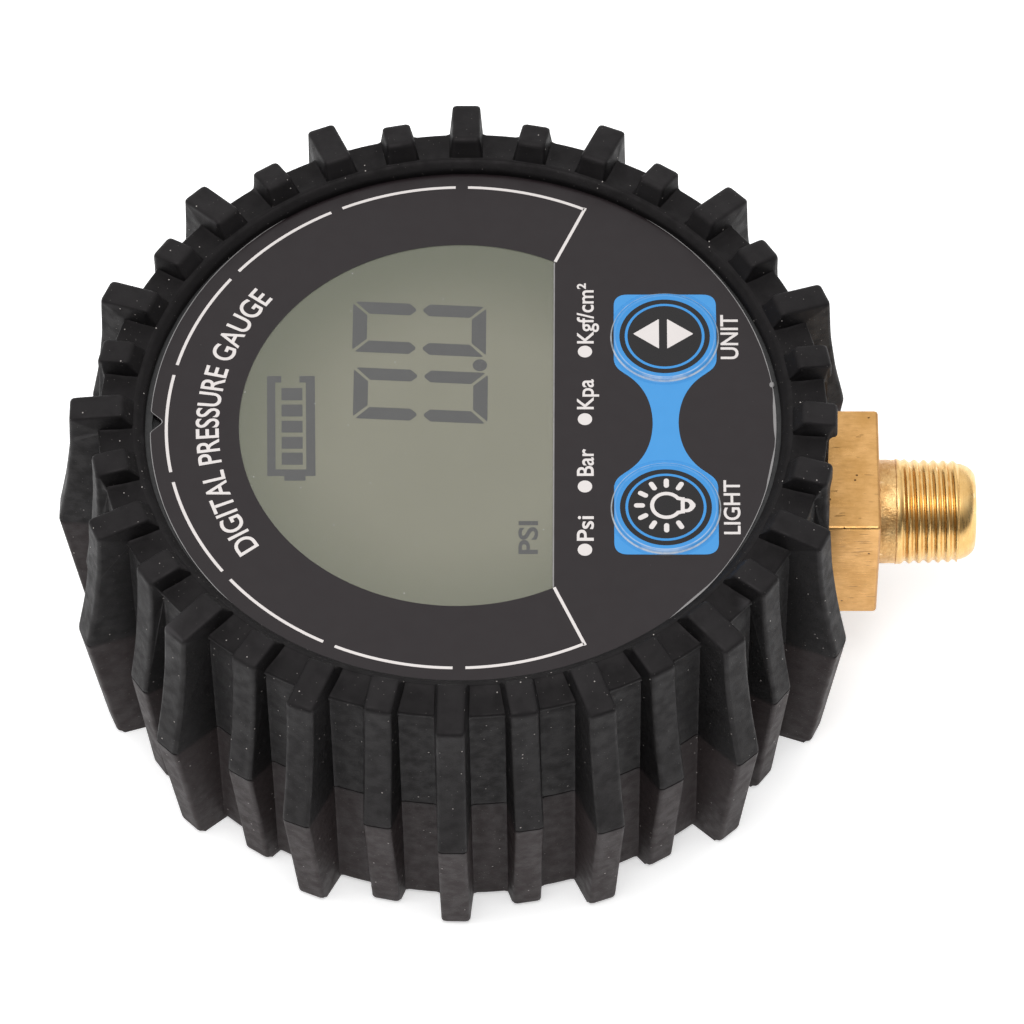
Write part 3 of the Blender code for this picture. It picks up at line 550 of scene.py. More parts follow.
# (radius, height, rounding) corners of the boot's outlines, from the top down
LARGE_LUG = [(32.25, 35.0, 0.5), (37.16, 34.36, 0.55), (37.28, 31.6, 0.8), (37.45, 28.5, 1.2),
             (38.15, 22.5, 2.0), *mould_line(39.05, 39.1, 38.94, 39.04), (37.02, 0.4, 0.36)]
SMALL_LUG = [(32.25, 35.0, 0.5), (35.16, 34.56, 0.55), (35.24, 31.6, 0.8), (35.38, 28.5, 1.2),
             (35.88, 22.5, 2.0), *mould_line(36.56, 36.6, 36.44, 36.56), (35.32, 0.4, 0.36)]
VALLEY_RADIUS = 34.4
VALLEY = [(32.3, 32.98, 0.4), (34.66, 32.88, 0.36), (34.54, 32.42, 0.1), (34.28, 32.2, 0.1),
          (34.42, 31.5, 0.3), *mould_line(VALLEY_RADIUS, VALLEY_RADIUS, 34.20, VALLEY_RADIUS),
          (34.3, 0.5, 0.45)]
FOOT_RADII = {"large": 36.4, "small": 34.7, "valley": 33.6}
GROWTH_LEVELS = (0.0, 17.0, 34.0)
GROWTH = {"large": (0.5, 0.85, 0.5), "small": (0.5, 1.3, 0.8)}
BOOT_INSIDE = [(29.4, 0.0), (29.0, 0.12), (28.9, 0.45), (28.9, 1.2), (31.9, 1.2), (31.9, 32.2)]
CORNER_ROUNDING = ((1.0, 0.40), (0.97, 0.20), (0.87, 0.06), (0.70, 0.0))
ROOT_FLARE = 0.42
DENTS_LOW, DENTS_HIGH, DENTS_INSIDE = 2.0, 34.0, 33.0
CUT_END = 45
BOOT_CUTS = [
    ("boot_window", (25, -7.4, FITTING_LEVEL - 7.75), (CUT_END, 7.4, FITTING_LEVEL + 7.75), 0.7),
    ("lug_relief", (34.7, -9.0, FITTING_LEVEL - 8.6), (CUT_END, 9.0, FITTING_LEVEL + 8.6), 0.5),
    ("flank_relief", (35.1, -9.9, 8.1), (CUT_END, 9.0, 32.6), 0.3),
]


def nearness(degrees, direction, sharpness):
    """1 in the given direction round the boot and 0 opposite it; a sharper fall for a higher power."""
    return ((1 + math.cos(math.radians(degrees - direction))) / 2) ** sharpness


def growth_at(kind, height):
    """How far a lug of this kind swells outwards at a height, on the side where the boot stands out."""
    foot, waist, top = GROWTH[kind]
    if height < GROWTH_LEVELS[1]:
        return foot + (waist - foot) * height / GROWTH_LEVELS[1]
    share = min(1.0, (height - GROWTH_LEVELS[1]) / (GROWTH_LEVELS[2] - GROWTH_LEVELS[1]))
    return waist + (top - waist) * share


def boot_outline(kind, swelling=0.0):
    """(radius, height) points from the lip over the top and down to the foot, and how far each may sink."""
    shape = {"large": LARGE_LUG, "small": SMALL_LUG, "valley": VALLEY}[kind]
    line = filleted(LIP + [LUG_START] + shape + [(FOOT_RADII[kind], 0.0, 0)])
    lip_points = 1 + 4 + 4 + 4
    if swelling:
        line = [(r + swelling * growth_at(kind, z), z) if r > 33.0 else (r, z) for r, z in line]
    shares = [0.0] * lip_points + [1.0] * (len(line) - lip_points - 1) + [0.0]
    return line, shares


def sunk(line, shares, depth):
    """The outline moved inwards by depth, square to itself."""
    moved = []
    for index, (radius, height) in enumerate(line):
        before = line[max(index - 1, 0)]
        after = line[min(index + 1, len(line) - 1)]
        along = Vector((after[0] - before[0], after[1] - before[1])).normalized()
        moved.append((radius + along.y * depth * shares[index], height - along.x * depth * shares[index]))
    return moved


def boot_column(bm, line, angle, offset):
    """One upright slice of the boot, offset sideways from the middle plane at that angle."""
    column = []
    for index, (radius, height) in enumerate(line + BOOT_INSIDE):
        along = math.sqrt(radius ** 2 - offset ** 2)
        x = along * math.cos(angle) - offset * math.sin(angle)
        y = along * math.sin(angle) + offset * math.cos(angle)
        if index < len(line):
            place = Vector((x, y, height))
            dent = 0.03 * (1 + noise.noise(place * 0.16)) + 0.015 * (1 + noise.noise(place * 0.6))
            if DENTS_LOW < height < DENTS_HIGH and radius > DENTS_INSIDE:
                x, y = x * (1 - dent / radius), y * (1 - dent / radius)
            x *= 1 + BOOT_STRETCH
            y *= 1 - BOOT_STRETCH
        column.append(bm.verts.new((x, y, height)))
    return column


def make_boot():
    bm = bmesh.new()
    columns = []
    valley, valley_shares = boot_outline("valley")
    flare = ROOT_HALF_WIDTH + ROOT_FLARE
    root_angle = flare / VALLEY_RADIUS
    angles = []
    for index in range(LUG_COUNT + 1):
        degrees = 360 * index / LUG_COUNT
        angles.append(math.radians(degrees - LUG_SHIFT * nearness(degrees, LUG_SHIFT_DIRECTION, 3)))
    for index, angle in enumerate(angles[:-1]):
        kind = "large" if index % 2 == 0 and index != 0 else "small"
        line, shares = boot_outline(kind, nearness(360 * index / LUG_COUNT, LUG_GROWTH_DIRECTION, 2))
        left = [(-flare, valley), (-ROOT_HALF_WIDTH - 0.1, sunk(valley, valley_shares, -0.10))]
        for width, depth in CORNER_ROUNDING:
            left.append((-LUG_HALF_WIDTH * width, sunk(line, shares, depth)))
        for offset, outline in left:
            columns.append(boot_column(bm, outline, angle, offset))
        for offset, outline in reversed(left):
            columns.append(boot_column(bm, outline, angle, -offset))
        for share in (1 / 3, 2 / 3):
            between = angle + root_angle + (angles[index + 1] - angle - 2 * root_angle) * share
            columns.append(boot_column(bm, valley, between, 0.0))
    for left, right in zip(columns, columns[1:] + columns[:1]):
        add_skin(bm, left, right)
    boot = add_object("tread_boot", bm, [RUBBER], smooth_angle=42, weighted=True)
    for name, low, high, edge in BOOT_CUTS:
        combined_block(boot, name, low, high, edge)
    sharpen(boot, 42)
    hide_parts("rubber_boot")


# Dial film, its print and the display

DIAL_X = -0.4
WINDOW_RADIUS = 21.15
WINDOW_FLAT = 9.15
DISPLAY_TOP = FILM_TOP - 0.10
PRINT_LOW = FILM_TOP - 0.05
PRINT_HIGH = FILM_TOP + 0.015
BUTTON_HOLE = 5.6
HOLE_LOW, HOLE_HIGH = 30, 34
BLUE_HALF = 4.96
BLUE_CENTRE_X = 19.46
BLUE_CENTRES_Y = (10.13, -10.35)
BLUE_MIDDLE_Y = -0.11
WAIST_HALF = 1.24


def dial(points):
    """Points of the dial print, whose centre lies beside the case's axis."""
    return [(x + DIAL_X, y) for x, y in points]


def flat_sided_disc(radius, flat_x, steps):
    start = math.degrees(math.acos(flat_x / radius))
    return arc(radius, start, 360 - start, steps)


def cut_button_holes(obj, name):
    """Cuts the round holes that the two button domes fill."""
    for place in BUTTONS.values():
        profile = [(0, HOLE_LOW), (BUTTON_HOLE, HOLE_LOW), (BUTTON_HOLE, HOLE_HIGH), (0, HOLE_HIGH)]
        hole = turned(profile, 96, place, closed=False)
        combined(obj, name, hole, "DIFFERENCE")


def blue_outline():
    """Two rounded squares joined by a waist, round both buttons."""
    half = []
    for side, centre in ((1, BLUE_CENTRES_Y[0]), (-1, BLUE_CENTRES_Y[1])):
        start = Vector((3.9, centre - side * 4.45))
        bend = Vector((1.3, centre - side * 6.35))
        end = Vector((WAIST_HALF, BLUE_MIDDLE_Y))
        corners = [
            (0.0, centre + side * BLUE_HALF, 0),
            (BLUE_HALF, centre + side * BLUE_HALF, 1.35),
            (BLUE_HALF, centre - side * 3.55, 0.9),
            (start.x, start.y, 0),
        ]
        part = filleted(corners, 8)
        for step in range(1, 17):
            spot = bent(start, bend, end, step / 16)
            part.append((spot.x, spot.y))
        half += part[:-1] if side == 1 else part[::-1]
    right = [(BLUE_CENTRE_X + x, y) for x, y in half]
    left = [(BLUE_CENTRE_X - x, y) for x, y in half[1:-1]]
    return right + left[::-1]


def notched_circle(radius, inset):
    """The film's edge: a circle with a rounded V notch towards -X, moved inwards by inset."""
    notch = 2.3
    ring = arc(radius - inset, -180 + notch, 180 - notch, 192)
    start, end = ring[-1], ring[0]
    apex = -radius + 1.3 + inset
    corners = [ring[-2] + (0,), start + (0.28,), (apex, 0.06, 0.5), end + (0.28,), ring[1] + (0,)]
    return ring[1:-1] + filleted(corners, 6)[1:-1]


# Where the painted highlight on the film's rim widens: angle and reach in degrees, and the peak share of the
# widest band.
WIDE_EDGES = ((1.0, 5.2, 0.85), (-10.5, 4.5, 0.55), (-44, 6.0, 0.8), (-56, 12.0, 0.32))


def make_film():
    sheet = prism(notched_circle(FILM_RADIUS, 0.0), FILM_BOTTOM, FILM_TOP)
    film = add_object("dial_film", sheet, [FILM_BLACK])
    window = dial(flat_sided_disc(WINDOW_RADIUS, WINDOW_FLAT, 128))
    combined(film, "film_window", prism(window, FILM_BOTTOM - 1, FILM_TOP + 1), "DIFFERENCE")
    undercut = dial(flat_sided_disc(WINDOW_RADIUS + 0.7, WINDOW_FLAT + 0.7, 128))
    combined(film, "film_undercut", prism(undercut, FILM_BOTTOM - 1, FILM_TOP - 0.06), "DIFFERENCE")
    cut_button_holes(film, "film_hole")
    step = turned([(29.7, 31.0), (30.6, 31.0), (30.6, CASE_TOP + 0.03), (29.7, CASE_TOP + 0.03)], 192)
    combined(film, "film_step", step, "DIFFERENCE")
    sharpen(film, 30)
    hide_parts("face_overlay")
    # Painted highlight: a grey ribbon round the film's rim, wider where WIDE_EDGES peak, standing in for the
    # cut edge catching the light.
    bm = bmesh.new()
    outer = notched_circle(FILM_RADIUS, 0.01)
    inner = []
    thin, wide = notched_circle(FILM_RADIUS, 0.06), notched_circle(FILM_RADIUS, 0.32)
    for (x, y), (close_x, close_y) in zip(thin, wide):
        degrees = math.degrees(math.atan2(y, x))
        lens = max(peak * (1 - ((degrees - middle) / reach) ** 2) for middle, reach, peak in WIDE_EDGES)
        ragged = 0.5 + 0.5 * noise.noise(Vector((x, y, 0)) * 1.3)
        share = min(1.0, max(0.0, lens) + 0.22 * ragged)
        inner.append((x + (close_x - x) * share, y + (close_y - y) * share))
    add_ribbon(bm, inner + inner[:1], outer + outer[:1], FILM_TOP - 0.03, FILM_TOP + 0.006, closed=True)
    bead = bmesh.ops.create_icosphere(bm, subdivisions=2, radius=0.27)["verts"]
    turn = math.radians(8.4)
    place = ((FILM_RADIUS - 0.06) * math.cos(turn), (FILM_RADIUS - 0.06) * math.sin(turn), FILM_TOP)
    bmesh.ops.scale(bm, vec=(0.9, 1.25, 0.35), verts=bead)
    bmesh.ops.translate(bm, vec=place, verts=bead)
    add_object("dial_film_edge", bm, [FILM_EDGE_HIGHLIGHT])
    pane = add_object("display_pane", prism(window, DISPLAY_TOP + 0.03, FILM_TOP - 0.004), [clear_material()])


def clear_material():
    """Clear film over the display: a faint sheen with fine scuffs, see-through elsewhere."""
    shader = Shader("clear_film", Alpha=0.05, Specular_IOR_Level=0.5)
    scuffs = shader.noise(0.7, 5.0, 0.7)
    tint = shader.blend(scuffs, (0.80, 0.81, 0.79), (0.88, 0.89, 0.87))
    opacity = shader.span(shader.specks(0.9, 0.065, 0.16), 0.0, 1.0, 0.04, 0.45)
    shader.feed(shader.bsdf.inputs["Alpha"], opacity)
    return shader.finish(tint, shader.span(scuffs, 0.3, 0.7, 0.10, 0.2), shader.bump(scuffs, 0.002))


def make_lines():
    """White arcs round the display, with straight ends at the unit labels."""
    bm = bmesh.new()
    radius, half = 28.11, 0.15
    spans = [(90 + 25.8 * index + 1.23, 90 + 25.8 * (index + 1) - 1.23) for index in range(7)]
    corner = math.degrees(math.atan2(25.5, 12.06))
    spans += [(corner, 88.77), (271.83, 360 - corner)]
    for start, end in spans:
        add_ribbon(bm, dial(arc(radius - half, start, end, 28)), dial(arc(radius + half, start, end, 28)),
                   PRINT_LOW, PRINT_HIGH)
    for side in (1, -1):
        far = Vector((12.14, side * 25.58))
        near = Vector((9.2, side * 19.05))
        across = (far - near).orthogonal().normalized() * half
        line = [dial([tuple(spot + across * sign) for spot in (near, far)]) for sign in (1, -1)]
        add_ribbon(bm, line[0], line[1], PRINT_LOW, PRINT_HIGH)
    piece = add_object("scale_lines", bm, [PRINT_WHITE])
    # The same painted highlight, along the window's straight cut edge.
    thin = bmesh.new()
    top = math.sqrt(WINDOW_RADIUS ** 2 - WINDOW_FLAT ** 2) - 0.1
    line = [dial([(WINDOW_FLAT + shift, -top), (WINDOW_FLAT + shift, top)]) for shift in (-0.09, 0.03)]
    add_ribbon(thin, line[0], line[1], PRINT_LOW, FILM_TOP + 0.004)
    add_object("window_edge_line", thin, [FILM_EDGE_HIGHLIGHT])


def text_mesh(words, length, height, weight=0.0):
    """Flat letters as a bmesh: starts at the origin, length along X and capital height along Y."""
    curve = bpy.data.curves.new("letters", "FONT")
    curve.body = words
    curve.size = 1.0
    curve.offset = weight
    curve.extrude = 0.5
    curve.resolution_u = 6
    holder = linked("letters", curve)
    graph = bpy.context.evaluated_depsgraph_get()
    mesh = bpy.data.meshes.new_from_object(holder.evaluated_get(graph), depsgraph=graph)
    bm = bmesh.new()
    bm.from_mesh(mesh)
    bmesh.ops.remove_doubles(bm, verts=bm.verts, dist=1e-5)
    bpy.data.objects.remove(holder)
    bpy.data.meshes.remove(mesh)
    start = min(vert.co.x for vert in bm.verts)
    width = max(vert.co.x for vert in bm.verts) - start
    capital = 0.73
    for vert in bm.verts:
        vert.co.x = (vert.co.x - start) / width * length
        vert.co.y = vert.co.y / capital * height
        vert.co.z = PRINT_HIGH if vert.co.z > 0 else PRINT_LOW
    return bm


def label(name, words, start, length, height, weight=0.013):
    """A label that reads along +Y, with its capitals' feet at the larger X."""
    bm = text_mesh(words, length, height, weight)
    for vert in bm.verts:
        vert.co.x, vert.co.y = start[0] - vert.co.y, start[1] + vert.co.x
    add_object(name, bm, [PRINT_WHITE])


def make_labels():
    dots = bmesh.new()
    for y in (8.30, 0.33, -7.50, -14.77):
        add_prism(dots, arc(0.69, 0, 360, 40, (11.71, y))[:-1], PRINT_LOW, PRINT_HIGH)
    add_object("unit_dots", dots, [PRINT_WHITE])
    feet, capitals = 12.52, 1.66
    label("label_psi", "Psi", (feet, -13.75), 2.84, capitals)
    label("label_bar", "Bar", (feet, -6.28), 3.14, capitals)
    label("label_kpa", "Kpa", (feet, 1.49), 3.53, capitals)
    label("label_kgf", "Kgf/cm²", (feet, 9.26), 7.19, capitals)
    label("label_unit", "UNIT", (26.50, 7.40), 5.25, 1.76)
    label("label_light", "LIGHT", (26.47, -13.0), 6.22, 1.62)
    radius, start, end = 23.1, 217.2, 141.4
    middle_radius = radius + 1.1
    bm = text_mesh("DIGITAL PRESSURE GAUGE", math.radians(start - end) * middle_radius, 2.3, 0.010)
    for vert in bm.verts:
        angle = math.radians(start) - vert.co.x / middle_radius
        spread = 0.55 if angle > math.pi else 0.26
        distance = radius + vert.co.y + spread * ((angle - math.pi) / math.radians(37)) ** 2
        vert.co.x = DIAL_X + distance * math.cos(angle)
        vert.co.y = distance * math.sin(angle)
    add_object("dial_words", bm, [PRINT_WHITE])


def make_blue_print():
    piece = add_object("blue_panel", prism(blue_outline(), PRINT_LOW, PRINT_HIGH), [PRINT_BLUE])
    cut_button_holes(piece, "blue_hole")
    sharpen(piece, 30)


# Buttons: an embossed film dome over each key, closed by a lower skin DOME_SKIN_GAP below its upper skin.
# Both skins stay still; the symbols ride on the keys' press bodies.

DOME_SHAPE = [(5.6, 0.003), (5.36, 0.006), (5.26, 0.05), (5.16, 0.14), (5.04, 0.24), (4.93, 0.29),
              (4.82, 0.295), (4.70, 0.27), (4.53, 0.25)]
DOME_SKIN_GAP = 0.3
DISC_RADIUS = 4.38
RING_RADII = (3.86, 3.60)
ICON_TOP = 0.02
ICON_SUNK = 0.05


def dome_height(radius):
    """Height of the dome above the film: a raised rim round a nearly flat middle."""
    if radius < DOME_SHAPE[-1][0]:
        return 0.25 + 0.03 * (1 - (radius / DOME_SHAPE[-1][0]) ** 2)
    for (outer, low), (inner, high) in zip(DOME_SHAPE, DOME_SHAPE[1:]):
        if inner <= radius <= outer:
            return low + (high - low) * (outer - radius) / (outer - inner)
    return DOME_SHAPE[0][1]


def rim_material(name, centre, side):
    """The dome's rim: blue print out to the square's sides, black beyond, with painted highlights along the
    embossing, brightest on the near side, partly the film's own whitening.
    """
    shader = Shader(f"{name}_key_rim", Specular_IOR_Level=0.40)
    across = shader.math("SUBTRACT", shader.axis("X"), BLUE_CENTRE_X)
    along = shader.math("SUBTRACT", shader.axis("Y"), BLUE_CENTRES_Y[0 if side == 1 else 1])
    reach = shader.math("MAXIMUM", shader.math("ABSOLUTE", across), shader.times(along, side))
    mottled = shader.blend(shader.noise(0.6, 4.0), (0.032, 0.255, 0.620), (0.044, 0.285, 0.670))
    beyond = shader.span(reach, BLUE_HALF - 0.02, BLUE_HALF + 0.03)
    colour = shader.blend(beyond, mottled, (0.010, 0.0054, 0.0068))
    # Painted highlights: thin white lines where the embossed rim catches the light, stronger towards -Y, and
    # a painted sheen between them on the near side.
    radius = shader.from_centre(*centre)
    depth = shader.math("SUBTRACT", shader.axis("Y"), centre[1])
    front = shader.span(depth, 5.2, -5.2, 0.50, 0.85)
    outer = shader.math("ABSOLUTE", shader.math("SUBTRACT", radius, 5.19))
    inner = shader.math("ABSOLUTE", shader.math("SUBTRACT", radius, 4.84))
    outer_highlight = shader.times(shader.span(outer, 0.10, 0.03), front)
    faint_front = shader.span(depth, 1.0, -5.0, 0.10, 0.55)
    inner_highlight = shader.times(shader.span(inner, 0.10, 0.02), faint_front)
    between = shader.times(shader.span(radius, 4.84, 4.98), shader.span(radius, 5.22, 5.12))
    sheen = shader.times(between, shader.span(depth, -4.2, -5.0, 0.0, 0.42))
    broken = shader.span(shader.noise(1.2, 4.0), 0.3, 0.6, 0.5, 1.0)
    lines = shader.math("MAXIMUM", shader.math("MAXIMUM", outer_highlight, inner_highlight), sheen)
    white = shader.times(lines, broken)
    colour = shader.blend(white, colour, (0.62, 0.66, 0.70))
    roughness = shader.span(broken, 0.45, 1.0, 0.26, 0.36)
    return shader.finish(colour, roughness, shader.bump(shader.noise(5.0, 3.0), 0.004))


def make_dome(name, centre):
    black, blue, rim = 0, 1, 2
    radii = [r for r, _ in DOME_SHAPE] + [DISC_RADIUS, *RING_RADII, 3.0, 2.0, 1.0, 0.3]
    rim_rows = len(DOME_SHAPE)
    colours = [rim] * rim_rows + [black, blue] + [black] * 5
    rings = []
    steps = 144
    bm = bmesh.new()
    for radius in radii:
        spots = arc(radius, 0, 360, steps, centre)[:-1]
        rings.append([bm.verts.new((x, y, FILM_TOP + dome_height(radius))) for x, y in spots])
    middle = bm.verts.new((*centre, FILM_TOP + dome_height(0)))
    for outer, inner, colour in zip(rings, rings[1:], colours):
        add_skin(bm, outer, inner, colour)
    add_skin(bm, rings[-1], [middle] * steps, black)
    boundary = [edge for edge in bm.edges if len(edge.link_faces) == 1]
    lower = bmesh.ops.duplicate(bm, geom=list(bm.faces))
    under = [item for item in lower["geom"] if isinstance(item, bmesh.types.BMVert)]
    bmesh.ops.translate(bm, vec=(0, 0, -DOME_SKIN_GAP), verts=under)
    bmesh.ops.reverse_faces(bm, faces=[f for f in lower["geom"] if isinstance(f, bmesh.types.BMFace)])
    mirror = [lower["edge_map"][edge] for edge in boundary]
    bmesh.ops.bridge_loops(bm, edges=boundary + mirror)
    looks = [KEY_BLACK, KEY_BLUE, rim_material(name, centre, 1 if centre[1] > 0 else -1)]
    dome = add_object(f"{name}_dome", bm, looks, body=None, smooth_angle=60)
    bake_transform(dome)
    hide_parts(f"{name}_button")


def icon_levels(lift):
    """Lowest and highest level of a symbol's strokes."""
    top = FILM_TOP + dome_height(0)
    return top - ICON_SUNK, top + ICON_TOP + lift


def mirrored(half):
    """Half an outline, followed by its mirror image across Y = 0."""
    return half + [(x, -y) for x, y in reversed(half)]


def add_icon(bm, outline, centre, lift=0.0):
    """A small printed shape on the dome's middle. Shapes that overlap take different lifts."""
    add_prism(bm, [(centre[0] + x, centre[1] + y) for x, y in outline], *icon_levels(lift))


def add_stroke(bm, inner, outer, centre, lift=0.0):
    lines = [[(centre[0] + x, centre[1] + y) for x, y in line] for line in (inner, outer)]
    add_ribbon(bm, lines[0], lines[1], *icon_levels(lift))


def rounded_bar(length, width, place, angle):
    """A short bar with round ends, centred on place and turned to an angle in degrees."""
    half = (length - width) / 2
    ends = arc(width / 2, -90, 90, 8, (half, 0)) + arc(width / 2, 90, 270, 8, (-half, 0))
    turn = math.radians(angle)
    cos, sin = math.cos(turn), math.sin(turn)
    return [(place[0] + x * cos - y * sin, place[1] + x * sin + y * cos) for x, y in ends]


def make_icons():
    bm = bmesh.new()
    x, y = BUTTONS["unit"]
    centre = (x, y + 0.26)
    soft = 0.10
    for base, apex in ((-0.55, -3.05), (0.24, 2.78)):
        corners = [(base, 0.0, 0), (base, 1.76, soft), (apex, 0.0, soft), (base, -1.76, soft), (base, 0.0, 0)]
        add_icon(bm, filleted(corners)[:-1], centre)
    add_object("unit_icon", bm, [PRINT_WHITE], body="unit_press")
    bm = bmesh.new()
    x, y = BUTTONS["light"]
    centre = (x + 0.05, y + 0.17)
    radius, stroke = 1.56, 0.38
    add_stroke(bm, arc(radius - stroke, 33, 327, 40), arc(radius, 33, 327, 40), centre)
    for side in (1, -1):
        outer = [(1.20, side * 1.00), (1.62, side * 0.90)]
        inner = [(0.96, side * 0.64), (1.62, side * 0.54)]
        add_stroke(bm, inner, outer, centre, 0.006)
    bulb_collar = [(1.36, -0.92), (1.74, -0.92), (1.74, 0.92), (1.36, 0.92)]
    add_icon(bm, bulb_collar, centre, 0.012)
    base_outer = mirrored([(1.74, 0.80), (2.15, 0.76), (2.42, 0.60), (2.60, 0.38), (2.76, 0.14)])
    base_inner = mirrored([(1.74, 0.42), (1.98, 0.42), (2.14, 0.26), (2.20, 0.12), (2.22, 0.05)])
    add_stroke(bm, base_inner, base_outer, centre)
    for angle in range(60, 301, 30):
        turn = math.radians(angle)
        place = (2.57 * math.cos(turn), 2.57 * math.sin(turn))
        add_icon(bm, rounded_bar(1.06, 0.50, place, angle), centre)
    add_object("light_icon", bm, [PRINT_WHITE], body="light_press")


# Display glass and its segments, which are read with the top of each sign towards -X

SEGMENT_LOW = DISPLAY_TOP - 0.03
SEGMENT_HIGH = DISPLAY_TOP + 0.012


def digit_segments(place, width, height, bar, gap, slant):
    """The six lit segments of a 0 as (x, y) outlines, with pointed joints between them."""
    half = height / 2
    tip = bar * 0.52

    def put(points):
        made = []
        for along, up in points:
            lean = slant * (up / height)
            made.append((place[0] - up, place[1] + along + lean))
        return made

    shapes = []
    for mirror in (False, True):
        for flip in (False, True):
            shape = [(bar * 0.05, gap * 1.1), (0, gap * 2.0), (0, half - tip - gap),
                     (bar * 0.42, half - gap * 1.4), (bar * 0.62, half - gap * 1.4),
                     (bar, half - tip - gap * 0.8), (bar, bar + gap * 0.75)]
            if mirror:
                shape = [(width - a, b) for a, b in shape]
            if flip:
                shape = [(a, height - b) for a, b in shape]
            shapes.append(put(shape))
    for flip in (False, True):
        shape = [(gap * 1.1, 0.04), (gap * 1.9, 0), (width - gap * 1.9, 0), (width - gap * 1.1, 0.04),
                 (width - bar - gap * 0.75, bar), (bar + gap * 0.75, bar)]
        if flip:
            shape = [(a, height - b) for a, b in shape]
        shapes.append(put(shape))
    return shapes


def make_display():
    outline = [(10.6, -21.9), (10.6, 21.9), (-9.78, 21.9), (-21.9, 9.78), (-21.9, -9.78), (-9.78, -21.9)]
    bm = prism(outline, 27.5, 29.1)
    bmesh.ops.bevel(bm, geom=list(bm.edges), offset=0.12, segments=2, affect="EDGES")
    glass = add_object("display_glass", bm, [GLASS])
    step = dial(flat_sided_disc(21.5, 9.5, 128))
    combined(glass, "viewing_step", prism(step, 28.6, DISPLAY_TOP), "UNION")
    sharpen(glass, 30)
    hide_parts("lcd_panel")
    bm = bmesh.new()
    for place in ((2.34, -0.15), (2.13, 7.71)):
        for shape in digit_segments(place, 6.0, 12.95, 1.40, 0.26, 0.68):
            add_prism(bm, shape, SEGMENT_LOW, SEGMENT_HIGH)
    add_prism(bm, arc(0.70, 0, 360, 32, (1.56, 6.76))[:-1], SEGMENT_LOW, SEGMENT_HIGH)
    frame_bars = [
        ((-18.58, 5.86), (-17.78, -5.84)), ((-14.84, 5.86), (-13.96, -5.84)),
        ((-17.79, 5.86), (-17.20, 5.10)), ((-15.45, 5.86), (-14.83, 5.10)),
        ((-17.79, -5.08), (-14.83, -5.84)), ((-16.95, -5.83), (-14.92, -6.38)),
    ]
    bars = [(4.45, 3.00), (2.50, 1.10), (0.60, -0.78), (-1.28, -2.67), (-3.12, -4.53)]
    rectangles = frame_bars + [((-17.19, start), (-15.17, end)) for start, end in bars]
    for (x0, y0), (x1, y1) in rectangles:
        x0, x1 = sorted((x0, x1))
        y0, y1 = sorted((y0, y1))
        corners = [(x0, y0), (x1, y0), (x1, y1), (x0, y1)]
        add_prism(bm, [(x - 0.245 - 0.028 * y, y - 0.37) for x, y in corners], SEGMENT_LOW, SEGMENT_HIGH)
    add_object("display_segments", bm, [SEGMENT])
    bm = text_mesh("PSI", 3.78, 1.86, 0.022)
    for vert in bm.verts:
        height = SEGMENT_HIGH if vert.co.z > FILM_TOP else SEGMENT_LOW
        vert.co = (7.19 - vert.co.y, -15.19 + vert.co.x, height)
    add_object("display_unit", bm, [SEGMENT])


# Brass fitting

BLOCK_START = 32.0
BLOCK_END = 40.28
NECK_RADIUS = 5.1
THREAD_START = 42.0
PITCH = 0.941
CREST_RADIUS = 5.15
TAPER = 1 / 32
THREAD_DEPTH = 0.29
TIP_START = 48.05
TIP_END = FITTING_HIGH.x - 0.12
TIP_SHOULDER = 4.70
TIP_RADIUS = 3.3
BORE_RADIUS = 1.9


def thread_radius(along, angle):
    """Radius of the fitting's surface: neck, right-hand tapered thread and rounded tip."""
    crest = CREST_RADIUS - max(along - 42.2, 0) * TAPER
    phase = (along - THREAD_START - 0.37) / PITCH - angle / (2 * math.pi)
    fade_in = min(1.0, max(0.0, (along - THREAD_START - 0.1) / 0.8))
    radius = crest - THREAD_DEPTH * (0.5 + 0.5 * math.cos(2 * math.pi * phase)) ** 1.1 * fade_in
    if along < THREAD_START:
        return min(radius, NECK_RADIUS)
    share = min(1.0, max(0.0, (along - TIP_START) / (TIP_END - TIP_START)))
    tip = TIP_RADIUS + (TIP_SHOULDER - TIP_RADIUS) * (1 - share ** 1.8) ** 0.56
    return min(radius, tip) if share else radius


def along_fitting(profile):
    """A (radius, distance along X) outline turned about the fitting's axis."""
    bm = turned(profile, 64, closed=False)
    bmesh.ops.rotate(bm, verts=bm.verts, matrix=Matrix.Rotation(math.radians(90), 3, "Y"))
    bmesh.ops.translate(bm, vec=(0, 0, FITTING_LEVEL), verts=bm.verts)
    return bm


